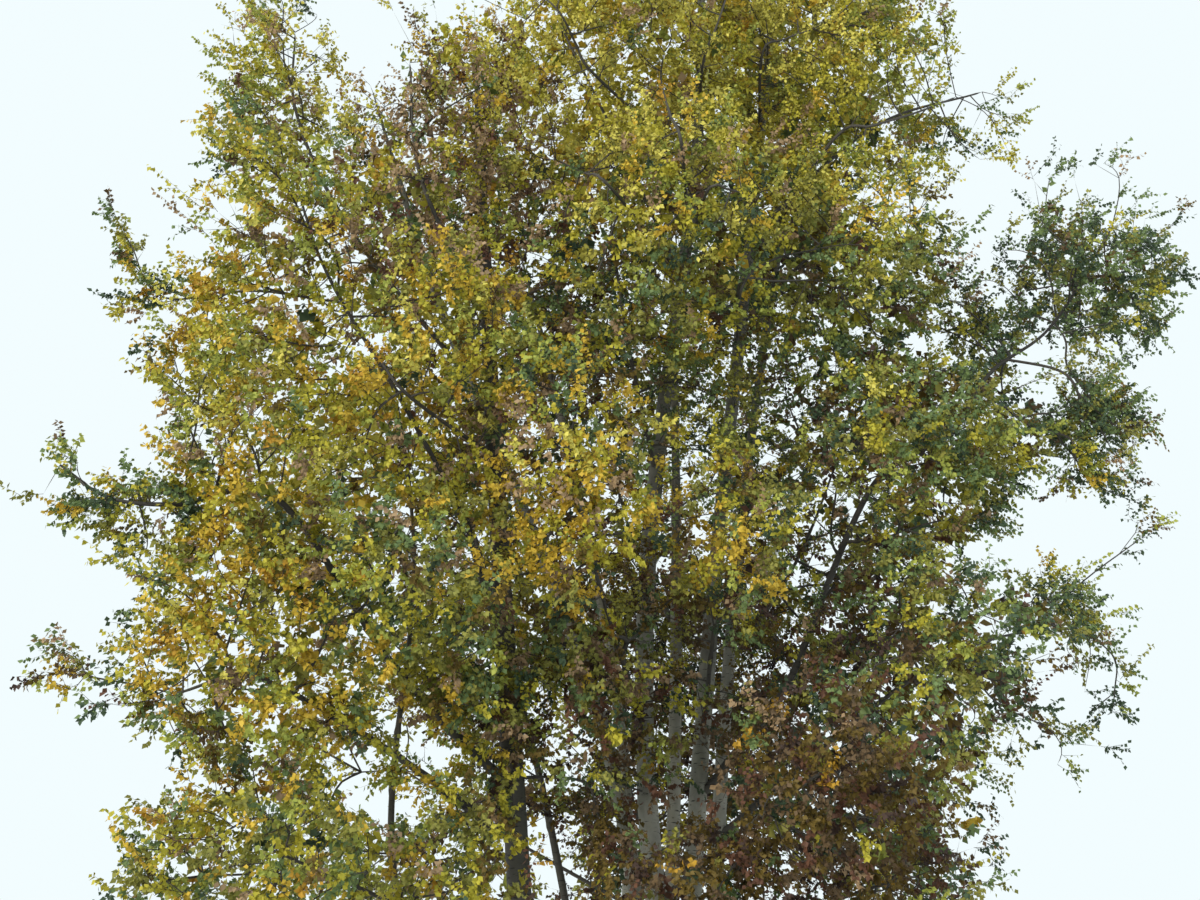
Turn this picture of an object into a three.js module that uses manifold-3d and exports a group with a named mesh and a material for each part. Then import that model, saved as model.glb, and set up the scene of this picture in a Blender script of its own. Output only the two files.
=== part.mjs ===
// Poplar tree grown as a clump: several stems from one root collar, their main boughs,
// and the masses of foliage that make up the crown, in autumn leaf.
// Millimetres, +Z up. The origin is the middle of the flat cut at ground level.
import * as THREE from 'three';
import { mergeVertices } from 'three/addons/utils/BufferGeometryUtils.js';
import Module from 'manifold-3d';

const wasm = await Module();
wasm.setup();

// Driving dimensions
const METRE = 1000;
const SEAT_GAP = 0.4;
const SHARPEST_CORNER = 0.4;
const COLLAR_TOP = 0.42 * METRE;
const COLLAR_FLARE = 2.1;
const FLARE_POWER = 2.2;
const STEM_TAPER = 0.55;
const STEM_TIP_SHARE = 0.1;
const STEM_SIDES = 6;
const STEM_RINGS = 7;
const FOOT_RINGS = 3;
const BOUGH_TIP_SHARE = 0.45;
const BOUGH_SIDES = 6;
const BOUGH_RINGS = 4;
const FOLIAGE_DETAIL = 3;
const SPRAY_DETAIL = 2;
const SPRAY_SIZE = 1.16;
const FOLIAGE_BUMPS = 12;
const BUMP_HEIGHT = 0.27;
const BUMP_WIDTH = 0.42;
const HOLLOW_DEPTH = 0.9;
const LEAST_BUMP = 0.4;
const MEAN_SHRINK = 0.35;
const UNDERSIDE_FLATTEN = 0.88;
const FIRST_SEED = 101;

// Each stem: thickness at its foot, foot and tip in metres, and how far it bows and sways
// sideways between them.
const STEMS = [
  {
    name: 'stem_front', thick: 0.255, foot: [0.08, -0.35, 0], tip: [0.75, 0.1, 17.2],
    bow: [-0.2, 0], sway: [-0.3, 0],
  },
  {
    name: 'stem_right', thick: 0.235, foot: [0.2, 0.1, 0], tip: [2.1, 0.3, 16.2],
    bow: [-0.1, 0], sway: [-0.05, 0],
  },
  {
    name: 'stem_left', thick: 0.2, foot: [-0.2, 0.08, 0], tip: [-3.9, -0.6, 12.4],
    bow: [0.45, 0.1], sway: [0.25, 0],
  },
  {
    name: 'stem_dark', thick: 0.285, foot: [-1.45, -0.85, 0], tip: [-2.4, -1.5, 12.6],
    bow: [0, -0.5], sway: [0, 0],
  },
  {
    name: 'stem_behind_right', thick: 0.2, foot: [0.55, 0.62, 0], tip: [2.3, 1.7, 12.4],
    bow: [-0.3, -0.3], sway: [0, 0],
  },
  {
    name: 'stem_behind', thick: 0.19, foot: [0.05, 0.85, 0], tip: [0.4, 2.6, 12.8],
    bow: [0.1, -0.3], sway: [0, 0],
  },
  {
    name: 'stem_behind_left', thick: 0.17, foot: [-0.5, 0.6, 0], tip: [-2, 1.9, 11.4],
    bow: [0.5, -0.2], sway: [0.1, 0],
  },
  {
    name: 'stem_slender', thick: 0.1, foot: [-0.8, -0.3, 0], tip: [-3.1, 0.1, 8.2],
    bow: [0.25, 0.1], sway: [0, 0],
  },
  {
    name: 'stem_shoot', thick: 0.085, foot: [-2.15, -1.15, 0], tip: [-3, -2.3, 7],
    bow: [-0.3, -0.1], sway: [-0.25, 0],
  },
];

// Each mass of foliage: middle and half sizes in metres, and its autumn tint. A mass is cut back
// where it meets one that stands before it in this list.
const FOLIAGE = [
  { name: 'foliage_dome_top', at: [-4.6, -1.9, 11.3], half: [0.9, 1.25, 1.6], tint: 'green' },
  { name: 'foliage_dome', at: [-4.45, -2.3, 8.6], half: [1.45, 1.75, 1.8], tint: 'gold' },
  { name: 'foliage_left_middle', at: [-4.1, -2.8, 6.1], half: [1.3, 1.65, 1.5], tint: 'gold' },
  { name: 'foliage_left_low', at: [-4.05, -2.9, 3.95], half: [1.3, 1.6, 1.35], tint: 'gold' },
  { name: 'foliage_left_skirt', at: [-3.9, -2.8, 1.95], half: [1.3, 1.5, 1.15], tint: 'gold' },
  { name: 'foliage_left_spray', at: [-5.95, -3, 5.85], half: [0.85, 0.55, 0.42], tint: 'green' },
  { name: 'foliage_left_low_spray', at: [-5.6, -3.1, 3.85], half: [0.6, 0.5, 0.35], tint: 'green' },
  { name: 'foliage_top', at: [0.9, 0.4, 15.9], half: [2.5, 2.5, 2.1], tint: 'olive' },
  { name: 'foliage_upper_left', at: [-2.6, -1.2, 10.8], half: [1.7, 1.9, 2.3], tint: 'brown' },
  { name: 'foliage_upper_middle', at: [-0.7, -0.8, 13], half: [2.1, 2.1, 2.2], tint: 'olive' },
  { name: 'foliage_upper_right', at: [2.6, 0.1, 13.1], half: [2.1, 2.1, 2.2], tint: 'olive' },
  { name: 'foliage_upper_right_tip', at: [4.6, 0.2, 12.8], half: [1.15, 0.85, 0.75], tint: 'olive' },
  { name: 'foliage_right_high', at: [2.7, -0.6, 9.8], half: [1.75, 1.9, 1.9], tint: 'olive' },
  { name: 'foliage_centre_high', at: [-0.2, -1.3, 9.2], half: [1.85, 1.6, 1.8], tint: 'olive' },
  { name: 'foliage_arm_top', at: [6.15, 0, 10], half: [1.5, 1.35, 1.65], tint: 'green' },
  { name: 'foliage_arm', at: [4.95, 0, 8.3], half: [1.15, 1.1, 1.15], tint: 'green' },
  { name: 'foliage_arm_under', at: [5.75, 0, 7], half: [0.7, 0.8, 0.65], tint: 'green' },
  { name: 'foliage_low_arm', at: [4.8, 0, 4.6], half: [1.05, 1.2, 1.3], tint: 'green' },
  { name: 'foliage_right_middle', at: [2.85, -0.6, 7], half: [1.5, 1.85, 1.6], tint: 'olive' },
  { name: 'foliage_right_low', at: [2.95, -1, 4.4], half: [1.4, 1.75, 1.55], tint: 'olive' },
  { name: 'foliage_brown_low', at: [1.6, -2.3, 2.95], half: [1.4, 1.25, 1.15], tint: 'brown' },
  { name: 'foliage_right_skirt', at: [2.4, -1, 1.8], half: [1.4, 1.6, 1.05], tint: 'olive' },
  { name: 'foliage_inner_left', at: [-2.75, -2.6, 7.1], half: [1.35, 1.55, 1.6], tint: 'gold' },
  { name: 'foliage_inner_left_low', at: [-2.4, -3, 4.6], half: [1.05, 1.15, 1.05], tint: 'gold' },
  { name: 'foliage_inner_skirt', at: [-2.2, -2.7, 1.85], half: [1.05, 1.2, 1.05], tint: 'gold' },
  { name: 'foliage_gold_front', at: [-0.95, -3, 5.7], half: [0.8, 0.95, 1.75], tint: 'gold' },
  { name: 'foliage_centre', at: [0.75, -2, 5.4], half: [1, 1.05, 1.1], tint: 'gold' },
  { name: 'foliage_centre_skirt', at: [0, -2.3, 1.6], half: [1.45, 1.05, 0.85], tint: 'brown' },
  { name: 'foliage_back_high', at: [1.3, 2.3, 12.1], half: [2.4, 2, 2.6], tint: 'olive' },
  { name: 'foliage_back_high_left', at: [-2.1, 1.7, 10.4], half: [2.2, 2, 2.3], tint: 'green' },
  { name: 'foliage_back_middle_left', at: [-3.5, 1.4, 6.7], half: [2, 2.1, 2.3], tint: 'green' },
  { name: 'foliage_back_middle', at: [-0.4, 3.2, 7.1], half: [2.3, 1.8, 3], tint: 'olive' },
  { name: 'foliage_back_middle_right', at: [2.8, 2.5, 7.6], half: [2.2, 1.9, 2.6], tint: 'olive' },
  { name: 'foliage_back_low_left', at: [-3.4, 1.5, 3], half: [2, 1.9, 2.1], tint: 'gold' },
  { name: 'foliage_back_low', at: [-0.3, 3.4, 3.2], half: [2, 1.7, 2.2], tint: 'olive' },
  { name: 'foliage_back_low_right', at: [3, 2.4, 3.2], half: [2.1, 1.9, 2.1], tint: 'olive' },
  { name: 'foliage_centre_low', at: [-1, -1.9, 3.7], half: [0.85, 0.8, 1.3], tint: 'olive' },
];

// Each bough: the stem that it leaves and the height there, its thickness at the base, the mass
// that it feeds, and how far its middle rises above the straight line, all in metres.
const BOUGHS = [
  {
    name: 'bough_left_skirt', from: 'stem_dark', height: 1.1, thick: 0.08,
    to: 'foliage_left_skirt', rise: 0.1,
  },
  {
    name: 'bough_left_low', from: 'stem_dark', height: 2.3, thick: 0.11,
    to: 'foliage_left_low', rise: 0.15,
  },
  {
    name: 'bough_left_middle', from: 'stem_dark', height: 2.9, thick: 0.12,
    to: 'foliage_left_middle', rise: -0.3,
  },
  {
    name: 'bough_inner_left', from: 'stem_dark', height: 4.4, thick: 0.1,
    to: 'foliage_inner_left', rise: -0.2,
  },
  {
    name: 'bough_gold_front', from: 'stem_front', height: 3.6, thick: 0.08,
    to: 'foliage_gold_front', rise: -0.1,
  },
  {
    name: 'bough_centre', from: 'stem_right', height: 3.7, thick: 0.07,
    to: 'foliage_centre', rise: 0,
  },
  {
    name: 'bough_brown_low', from: 'stem_front', height: 1.7, thick: 0.09,
    to: 'foliage_brown_low', rise: 0.1,
  },
  {
    name: 'bough_right_skirt', from: 'stem_behind_right', height: 1.1, thick: 0.08,
    to: 'foliage_right_skirt', rise: 0.1,
  },
  {
    name: 'bough_right_low', from: 'stem_behind_right', height: 2.5, thick: 0.1,
    to: 'foliage_right_low', rise: 0,
  },
  {
    name: 'bough_right_middle', from: 'stem_right', height: 2.9, thick: 0.14,
    to: 'foliage_right_middle', rise: -0.35,
  },
  {
    name: 'bough_back_low', from: 'stem_behind', height: 1.8, thick: 0.09,
    to: 'foliage_back_low', rise: 0.1,
  },
];

// Colours
const BARK_PALE = '#9a9a8c';
const BARK_DARK = '#5e594c';
const LEAF_TINTS = {
  gold: '#a58b24',
  green: '#7f8a35',
  olive: '#84842b',
  brown: '#70592c',
};

function makeRandom(seed) {
  let state = seed >>> 0;
  return () => {
    state = (state + 0x6d2b79f5) >>> 0;
    let mixed = state;
    mixed = Math.imul(mixed ^ (mixed >>> 15), mixed | 1);
    mixed ^= mixed + Math.imul(mixed ^ (mixed >>> 7), mixed | 61);
    return ((mixed ^ (mixed >>> 14)) >>> 0) / 4294967296;
  };
}

function toSolid(geometry) {
  const bare = geometry.clone();
  bare.deleteAttribute('normal');
  bare.deleteAttribute('uv');
  const merged = mergeVertices(bare, 0.01);
  return new wasm.Manifold(new wasm.Mesh({
    numProp: 3,
    vertProperties: new Float32Array(merged.attributes.position.array),
    triVerts: new Uint32Array(merged.index.array),
  }));
}

function toGeometry(solid) {
  const mesh = solid.getMesh();
  const positions = new Float32Array(mesh.numVert * 3);
  for (let i = 0; i < mesh.numVert; i += 1) {
    for (let k = 0; k < 3; k += 1) {
      positions[3 * i + k] = mesh.vertProperties[i * mesh.numProp + k];
    }
  }
  const geometry = new THREE.BufferGeometry();
  geometry.setAttribute('position', new THREE.BufferAttribute(positions, 3));
  geometry.setIndex(new THREE.BufferAttribute(new Uint32Array(mesh.triVerts), 1));
  return geometry;
}

// The same solid with every face moved out by the seat gap or a little more, for cutting its
// neighbours. A corner moves along the mean of its faces' normals, far enough for each of them.
function grown(solid) {
  const geometry = toGeometry(solid);
  const { position } = geometry.attributes;
  const corners = geometry.index.array;
  const faceNormals = Array.from({ length: position.count }, () => []);
  const face = new THREE.Triangle();
  for (let i = 0; i < corners.length; i += 3) {
    const three = [corners[i], corners[i + 1], corners[i + 2]];
    face.setFromAttributeAndIndices(position, ...three);
    const normal = face.getNormal(new THREE.Vector3());
    three.forEach((corner) => faceNormals[corner].push(normal));
  }
  faceNormals.forEach((normals, i) => {
    const mean = normals.reduce((sum, normal) => sum.add(normal), new THREE.Vector3()).normalize();
    const least = Math.min(...normals.map((normal) => normal.dot(mean)));
    const step = SEAT_GAP / Math.max(least, SHARPEST_CORNER);
    position.setXYZ(
      i,
      position.getX(i) + step * mean.x,
      position.getY(i) + step * mean.y,
      position.getZ(i) + step * mean.z,
    );
  });
  return toSolid(geometry);
}

function boxesMeet(a, b) {
  const first = a.boundingBox();
  const second = b.boundingBox();
  return [0, 1, 2].every((k) => first.min[k] <= second.max[k] && second.min[k] <= first.max[k]);
}

function cutBy(solid, cutters) {
  return cutters.filter((cutter) => boxesMeet(solid, cutter))
    .reduce((rest, cutter) => rest.subtract(cutter), solid);
}

function largestPiece(solid) {
  return solid.decompose().reduce((best, piece) => (piece.volume() > best.volume() ? piece : best));
}

function middleOf(solid) {
  const box = solid.boundingBox();
  return new THREE.Vector3().addVectors(
    new THREE.Vector3(...box.min),
    new THREE.Vector3(...box.max),
  ).multiplyScalar(0.5);
}

// A closed limb of rings round a centre line, with a flat face at each end.
function limbGeometry(centreAt, radiusAt, sides, rings, levelRings) {
  const positions = [];
  const index = [];
  for (let ring = 0; ring <= rings; ring += 1) {
    const t = ring / rings;
    const centre = centreAt(t);
    const along = levelRings
      ? new THREE.Vector3(0, 0, 1)
      : centreAt(Math.min(t + 0.01, 1)).sub(centreAt(Math.max(t - 0.01, 0))).normalize();
    const reference = Math.abs(along.y) < 0.8 ? new THREE.Vector3(0, 1, 0) : new THREE.Vector3(1, 0, 0);
    const across = new THREE.Vector3().crossVectors(reference, along).normalize();
    const beside = new THREE.Vector3().crossVectors(along, across);
    for (let side = 0; side < sides; side += 1) {
      const angle = (side / sides) * 2 * Math.PI;
      const point = centre.clone()
        .addScaledVector(across, radiusAt(t) * Math.cos(angle))
        .addScaledVector(beside, radiusAt(t) * Math.sin(angle));
      positions.push(point.x, point.y, point.z);
    }
  }
  for (let ring = 0; ring < rings; ring += 1) {
    for (let side = 0; side < sides; side += 1) {
      const next = (side + 1) % sides;
      const low = ring * sides;
      const high = low + sides;
      index.push(low + side, low + next, high + next, low + side, high + next, high + side);
    }
  }
  for (let side = 1; side < sides - 1; side += 1) {
    const top = rings * sides;
    index.push(0, side + 1, side, top, top + side, top + side + 1);
  }
  const geometry = new THREE.BufferGeometry();
  geometry.setAttribute('position', new THREE.Float32BufferAttribute(positions, 3));
  geometry.setIndex(index);
  return geometry;
}

function stemPoint(stem, t) {
  const foot = new THREE.Vector3(...stem.foot);
  const point = foot.lerp(new THREE.Vector3(...stem.tip), t);
  const bowShare = 4 * t * (1 - t);
  const swayShare = Math.sin(2 * Math.PI * t);
  point.x += stem.bow[0] * bowShare + stem.sway[0] * swayShare;
  point.y += stem.bow[1] * bowShare + stem.sway[1] * swayShare;
  return point.multiplyScalar(METRE);
}

function stemRadius(stem, t) {
  const taper = STEM_TIP_SHARE + (1 - STEM_TIP_SHARE) * (1 - t) ** STEM_TAPER;
  return 0.5 * stem.thick * METRE * taper;
}

// A stem stands on the top of its foot in the root collar.
function stemSolid(stem) {
  const start = COLLAR_TOP / (stem.tip[2] * METRE);
  const along = (share) => start + (1 - start) * share;
  return toSolid(limbGeometry(
    (share) => stemPoint(stem, along(share)),
    (share) => stemRadius(stem, along(share)),
    STEM_SIDES,
    STEM_RINGS,
    true,
  ));
}

// The flared foot of one stem, wide at ground level and as thick as the stem at the top.
function footSolid(stem) {
  const topShare = (COLLAR_TOP - SEAT_GAP) / (stem.tip[2] * METRE);
  return toSolid(limbGeometry(
    (share) => stemPoint(stem, topShare * share),
    (share) => stemRadius(stem, topShare) * (1 + (COLLAR_FLARE - 1) * (1 - share) ** FLARE_POWER),
    STEM_SIDES,
    FOOT_RINGS,
    true,
  ));
}

// A low rounded ridge of root wood between two feet, above ground only.
function ridgeSolid(from, to, width, height) {
  const a = new THREE.Vector3(...from.foot).multiplyScalar(METRE);
  const b = new THREE.Vector3(...to.foot).multiplyScalar(METRE);
  const ridge = new THREE.SphereGeometry(1, 8, 6);
  ridge.rotateX(Math.PI / 2);
  ridge.scale(0.5 * a.distanceTo(b) + width, width, height);
  ridge.rotateZ(Math.atan2(b.y - a.y, b.x - a.x));
  ridge.translate(0.5 * (a.x + b.x), 0.5 * (a.y + b.y), 0);
  const below = new THREE.BoxGeometry(8 * METRE, 8 * METRE, METRE);
  below.translate(0, 0, -0.5 * METRE);
  return toSolid(ridge).subtract(toSolid(below));
}

// An uneven closed body: a faceted ball pushed in and out by broad bumps.
function foliageSolid(mass, seed) {
  const random = makeRandom(seed);
  const bumps = [];
  for (let i = 0; i < FOLIAGE_BUMPS; i += 1) {
    const height = 2 * random() - 1;
    const turn = 2 * Math.PI * random();
    const flat = Math.sqrt(1 - height * height);
    bumps.push({
      towards: new THREE.Vector3(flat * Math.cos(turn), flat * Math.sin(turn), height),
      push: BUMP_HEIGHT * (i % 3 === 0 ? -HOLLOW_DEPTH : LEAST_BUMP + (1 - LEAST_BUMP) * random()),
    });
  }
  const small = Math.min(...mass.half) < SPRAY_SIZE;
  const ball = new THREE.OctahedronGeometry(1, small ? SPRAY_DETAIL : FOLIAGE_DETAIL);
  ball.rotateZ(random() * Math.PI);
  ball.deleteAttribute('normal');
  ball.deleteAttribute('uv');
  const geometry = mergeVertices(ball, 0.001);
  const { position } = geometry.attributes;
  const direction = new THREE.Vector3();
  for (let i = 0; i < position.count; i += 1) {
    direction.fromBufferAttribute(position, i).normalize();
    const reach = bumps.reduce(
      (sum, bump) => sum + bump.push * Math.exp((direction.dot(bump.towards) - 1) / BUMP_WIDTH ** 2),
      1 - BUMP_HEIGHT * MEAN_SHRINK,
    );
    const drop = direction.z < 0 ? UNDERSIDE_FLATTEN : 1;
    position.setXYZ(
      i,
      METRE * (mass.at[0] + mass.half[0] * direction.x * reach),
      METRE * (mass.at[1] + mass.half[1] * direction.y * reach),
      METRE * (mass.at[2] + mass.half[2] * direction.z * reach * drop),
    );
  }
  return toSolid(geometry);
}

// A bough leaves the middle of its carrier and heads for the middle of the mass that it feeds.
function boughSolid(bough, start, end) {
  const control = start.clone().lerp(end, 0.5);
  control.z += 2 * bough.rise * METRE;
  const line = new THREE.QuadraticBezierCurve3(start, control, end);
  return toSolid(limbGeometry(
    (t) => line.getPoint(t),
    (t) => 0.5 * bough.thick * METRE * (1 + (BOUGH_TIP_SHARE - 1) * t),
    BOUGH_SIDES,
    BOUGH_RINGS,
    false,
  ));
}

// The piece of a cut bough that lies nearest to its start.
function pieceNearest(solid, start) {
  const away = (piece) => {
    const box = piece.boundingBox();
    const nearest = start.clone().clamp(new THREE.Vector3(...box.min), new THREE.Vector3(...box.max));
    return nearest.distanceTo(start);
  };
  return solid.decompose().reduce((best, piece) => (away(piece) < away(best) ? piece : best));
}

function barkMaterial(color) {
  return new THREE.MeshStandardMaterial({ color, roughness: 0.8, metalness: 0 });
}

function leafMaterial(tint) {
  return new THREE.MeshStandardMaterial({ color: LEAF_TINTS[tint], roughness: 0.7, metalness: 0 });
}

const tree = new THREE.Group();

function addPart(name, solid, material) {
  const mesh = new THREE.Mesh(toGeometry(solid), material);
  mesh.name = name;
  tree.add(mesh);
}

// Root collar: every foot, and the ridges of root wood that join them in one body
const [frontStem, , leftStem, darkStem, behindRightStem] = STEMS;
const [behindStem, , slenderStem, shootStem] = STEMS.slice(5);
const RIDGES = [
  [leftStem, behindRightStem, 0.5, 0.28],
  [frontStem, behindStem, 0.34, 0.26],
  [leftStem, darkStem, 0.24, 0.2],
  [slenderStem, behindStem, 0.26, 0.2],
  [darkStem, shootStem, 0.14, 0.13],
];
const collarPieces = [
  ...STEMS.map(footSolid),
  ...RIDGES.map(([from, to, width, height]) => ridgeSolid(from, to, width * METRE, height * METRE)),
];
const collarParts = collarPieces.reduce((whole, piece) => whole.add(piece));
addPart('root_collar', largestPiece(collarParts), barkMaterial(BARK_PALE));

// Stems
const stemSolids = STEMS.map(stemSolid);
const stemCutters = stemSolids.map((solid) => grown(solid));
STEMS.forEach((stem, i) => {
  addPart(stem.name, stemSolids[i], barkMaterial(stem === darkStem ? BARK_DARK : BARK_PALE));
});

// Foliage: each mass is cut round the stems and round the masses that stand before it
const foliage = new Map();
const foliageCutters = [];
FOLIAGE.forEach((mass, i) => {
  const whole = foliageSolid(mass, FIRST_SEED + i);
  const solid = largestPiece(cutBy(whole, [...stemCutters, ...foliageCutters]));
  foliage.set(mass.name, solid);
  foliageCutters.push(grown(whole));
  addPart(mass.name, solid, leafMaterial(mass.tint));
});

// Boughs: each ends where it enters a mass of foliage
for (const bough of BOUGHS) {
  const stem = STEMS.find((candidate) => candidate.name === bough.from);
  const start = stemPoint(stem, bough.height / stem.tip[2]);
  const end = middleOf(foliage.get(bough.to));
  const whole = boughSolid(bough, start, end);
  const clear = pieceNearest(cutBy(whole, [...stemCutters, ...foliageCutters]), start);
  addPart(bough.name, clear, barkMaterial(BARK_PALE));
}

export default tree;
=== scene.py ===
import math

import bpy
import numpy as np
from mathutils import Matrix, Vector, noise
from mathutils.bvhtree import BVHTree


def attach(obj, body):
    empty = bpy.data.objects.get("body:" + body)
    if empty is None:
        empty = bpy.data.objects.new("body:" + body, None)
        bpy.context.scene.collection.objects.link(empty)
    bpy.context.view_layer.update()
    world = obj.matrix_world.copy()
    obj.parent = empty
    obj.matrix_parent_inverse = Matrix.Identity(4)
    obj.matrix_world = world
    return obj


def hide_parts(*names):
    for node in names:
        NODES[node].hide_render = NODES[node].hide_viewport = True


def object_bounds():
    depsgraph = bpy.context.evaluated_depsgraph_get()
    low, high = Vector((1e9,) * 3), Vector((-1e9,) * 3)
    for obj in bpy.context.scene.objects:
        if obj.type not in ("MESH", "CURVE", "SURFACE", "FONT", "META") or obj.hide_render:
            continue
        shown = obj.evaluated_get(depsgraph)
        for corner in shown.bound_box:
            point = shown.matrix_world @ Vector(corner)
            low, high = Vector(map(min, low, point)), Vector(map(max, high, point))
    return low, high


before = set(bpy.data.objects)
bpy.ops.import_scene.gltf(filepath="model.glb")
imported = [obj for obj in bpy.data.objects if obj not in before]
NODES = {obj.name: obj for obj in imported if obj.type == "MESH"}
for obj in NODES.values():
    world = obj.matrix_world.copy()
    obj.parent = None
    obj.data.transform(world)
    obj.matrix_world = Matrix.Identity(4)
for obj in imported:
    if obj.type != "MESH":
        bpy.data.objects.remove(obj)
CAD_BOX = [list(corner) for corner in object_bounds()]
STEM_NAMES = sorted(name for name in NODES if name.startswith("stem_"))
DARK_STEMS = ("stem_dark", "stem_shoot", "stem_slender")
BOUGH_NAMES = sorted(name for name in NODES if name.startswith("bough_"))
MASS_NAMES = sorted(name for name in NODES if name.startswith("foliage_"))
random = np.random.default_rng(2024)

# Foliage stays within this share of the solids' box and this many metres past it, and above
# the ground
ROOM_SHARE = 0.025
LEAST_ROOM = 0.005
LOWEST_LEAF = 0.05
LOW_LIMIT, HIGH_LIMIT = (np.array(corner) for corner in CAD_BOX)
ROOM = ROOM_SHARE * (HIGH_LIMIT - LOW_LIMIT) + LEAST_ROOM
LOW_LIMIT, HIGH_LIMIT = LOW_LIMIT - ROOM, HIGH_LIMIT + ROOM
LOW_LIMIT[2] = LOWEST_LEAF

# Camera, at the photograph's place and viewing angle
CAMERA_AT = np.array([-0.73, -15.5, 1.6])
CAMERA_PITCH = math.radians(20.2)
IMAGE_WIDTH = 1200
IMAGE_HEIGHT = 900
FOCAL_PIXELS = 1267
SENSOR_WIDTH = 36.0
FURTHEST_SEEN = 500

# Foliage: how many sprays, where they may grow, and how they spread between the crown's near
# face, its outer layer and its inside
SPRAY_COUNT = 16000
CANDIDATE_PITCH = 0.2
VOXEL = 0.25
CLOSING_STEPS = 3
SHELL_DEPTH = 0.8
INNER_SHARE = 0.22
GAPS_BEHIND = 1.0
NEAR_SHARE = 1.7
NEAR_LAYER = 0.8
THIN_CROWN = 2.0
CELL_PIXELS = 20
SIDE_SHOOTS = 1
NEAR_SIDE_SHOOTS = 3
LEAVES_KEPT = 0.6
PIECE_TRIANGLES = 190000
LEAST_WEIGHT = 1e-6
RIM_END = 1.6
RIM_WIDTH = 0.6
GAP_STRIDE = 7

# Shoots: their lengths, and how strongly each is drawn along its twig, outward, up and by chance
SHOOT_LENGTH = (0.2, 0.4)
SIDE_SHOOT_LENGTH = (0.12, 0.3)
LONG_SHOOT_LENGTH = (0.5, 0.9)
SHORTENED_SHOOT = 0.06
LONG_SHOOT_SHARE = 0.14
LEADER_SHARE = 0.35
LEADER_ABOVE = 15.5
STEM_SHOOT_BEFORE = (0.15, 0.6)
STEM_SHOOT_ASIDE = 0.22
EDGE_DEPTH = 0.3
LEAD_GROWTH = 0.55
LEAD_OUTWARD = 0.5
LEAD_CHANCE = 0.4
LEAD_UP = (0, 0, 0.12)
LONG_CHANCE = 0.3
LONG_UP = (0, 0, 0.5)
SIDE_SHOOT_SPAN = (0.05, 0.7)
SIDE_AHEAD = 0.7
SIDE_ASIDE = 0.7
SHOOT_THICKNESS = 0.9
SPIKE_TURNS = (0.0, 2.09, 4.19)

# How leaves stand along a shoot, and how they are drawn aside, ahead, down and by chance
GOLDEN_ANGLE = math.radians(137.5)
FIRST_LEAF = 0.1
LEAF_STEP = (0.3, 1.0)
LEAF_TURN = 0.5
LEAF_ASIDE = 0.8
LEAF_AHEAD = 0.5
LEAF_CHANCE = 0.55
LEAF_DROOP = (0, 0, -0.7)
LEAF_SPREAD = (0.7, 1.25)
LEAF_FOLD = (0.05, 0.35)
ODD_AXIS = (0.31, 0.22, 0.93)
LEAF_ROUGHNESS = 0.55
LEAF_SHEEN = 0.2

# Leaves: the outline of a blade, as how far along the midrib and how far out each corner lies,
# then for each kind its size and how many a shoot of middling length carries. They are nearest to
# life size where the photograph shows them, and larger behind and inside, so that fewer fill the
# crown.
LEAF_OUTLINE = [(0.0, 0.0), (0.46, 0.5), (1.28, 0.04), (0.54, -0.5)]
LEAF_KINDS = {
    "front": {"size": 0.046, "each": 10.7},
    "near": {"size": 0.042, "each": 10.3},
    "shell": {"size": 0.075, "each": 5.6},
    "inner": {"size": 0.11, "each": 5.0},
}
# Near leaves are of the front kind nearer than this y and lower than this height
FRONT_BEFORE = -1.4
FRONT_BELOW = 9.5

# Limbs: how the way back to the stem and a drop below it weigh, and how thick and fine they are
PATH_WEIGHT = 0.28
DROP_WEIGHT = 0.25
SMOOTHING_STEPS = 3
TWIG_RADIUS = 0.0034
PIPE_POWER = 2.2
FINE_RADIUS = 0.006
LIMB_RADIUS = 0.009
LIMB_END = 0.012
GROW_BATCH = 400
FORK_SWELL = 1.3
FORK_SHARE = 0.8
TUBE_SIDES = ((0.009, 3), (0.018, 5), (math.inf, 7))
SHORT_CHAIN = 4
SEED_STEP = 0.16
LIMB_STEP = 0.1
UPPER_SIDES = 9
SHOWN_SIDES = 7
SHOWN_TAPER = 0.8
SHOWN_SINK = 0.05
FIRST_SEED = 4
LOWEST_TWIG = 1.3

# Stems, boughs and collar
STEM_STEP = 0.06
FOOT_STEP = 0.07
FOOT_GAP = 0.02
FLARE = 1.1
FLARE_POWER = 2.2
BARK_SIDES = 20
SLIM_SIDES = 12
SLIM_STEM = 0.07
CLOSE_RINGS = 90
BOUGH_SAMPLES = 6000
AXIS_STRIDE = 10
BOUGH_SLICES = 6
BOUGH_STEP = 0.07
BOUGH_SWELL = 1.15
BOUGH_RISE = (0, 0, 0.12)
FIRST_BOUGH_SEED = 6
CURVE_DETAIL = 40
LEAST_ACROSS = 0.2
LEAST_LENGTH = 1e-9
COARSE_SEARCH = 200
FINE_SEARCH = 400
COLLAR_VOXEL = 0.03
COLLAR_SWELL = 0.03
COLLAR_SWELL_GRAIN = 5
COLLAR_RIDGE = 0.02
COLLAR_RIDGE_GRAIN = 16
ROOT_SINK = 0.6
ROOT_REACH = 0.3
CORE_HEIGHTS = (0, 18)
CORE_ACROSS = (-0.6, 0.9)
CORE_BEHIND = 0.2
CORE_RISE = 0.9

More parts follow.
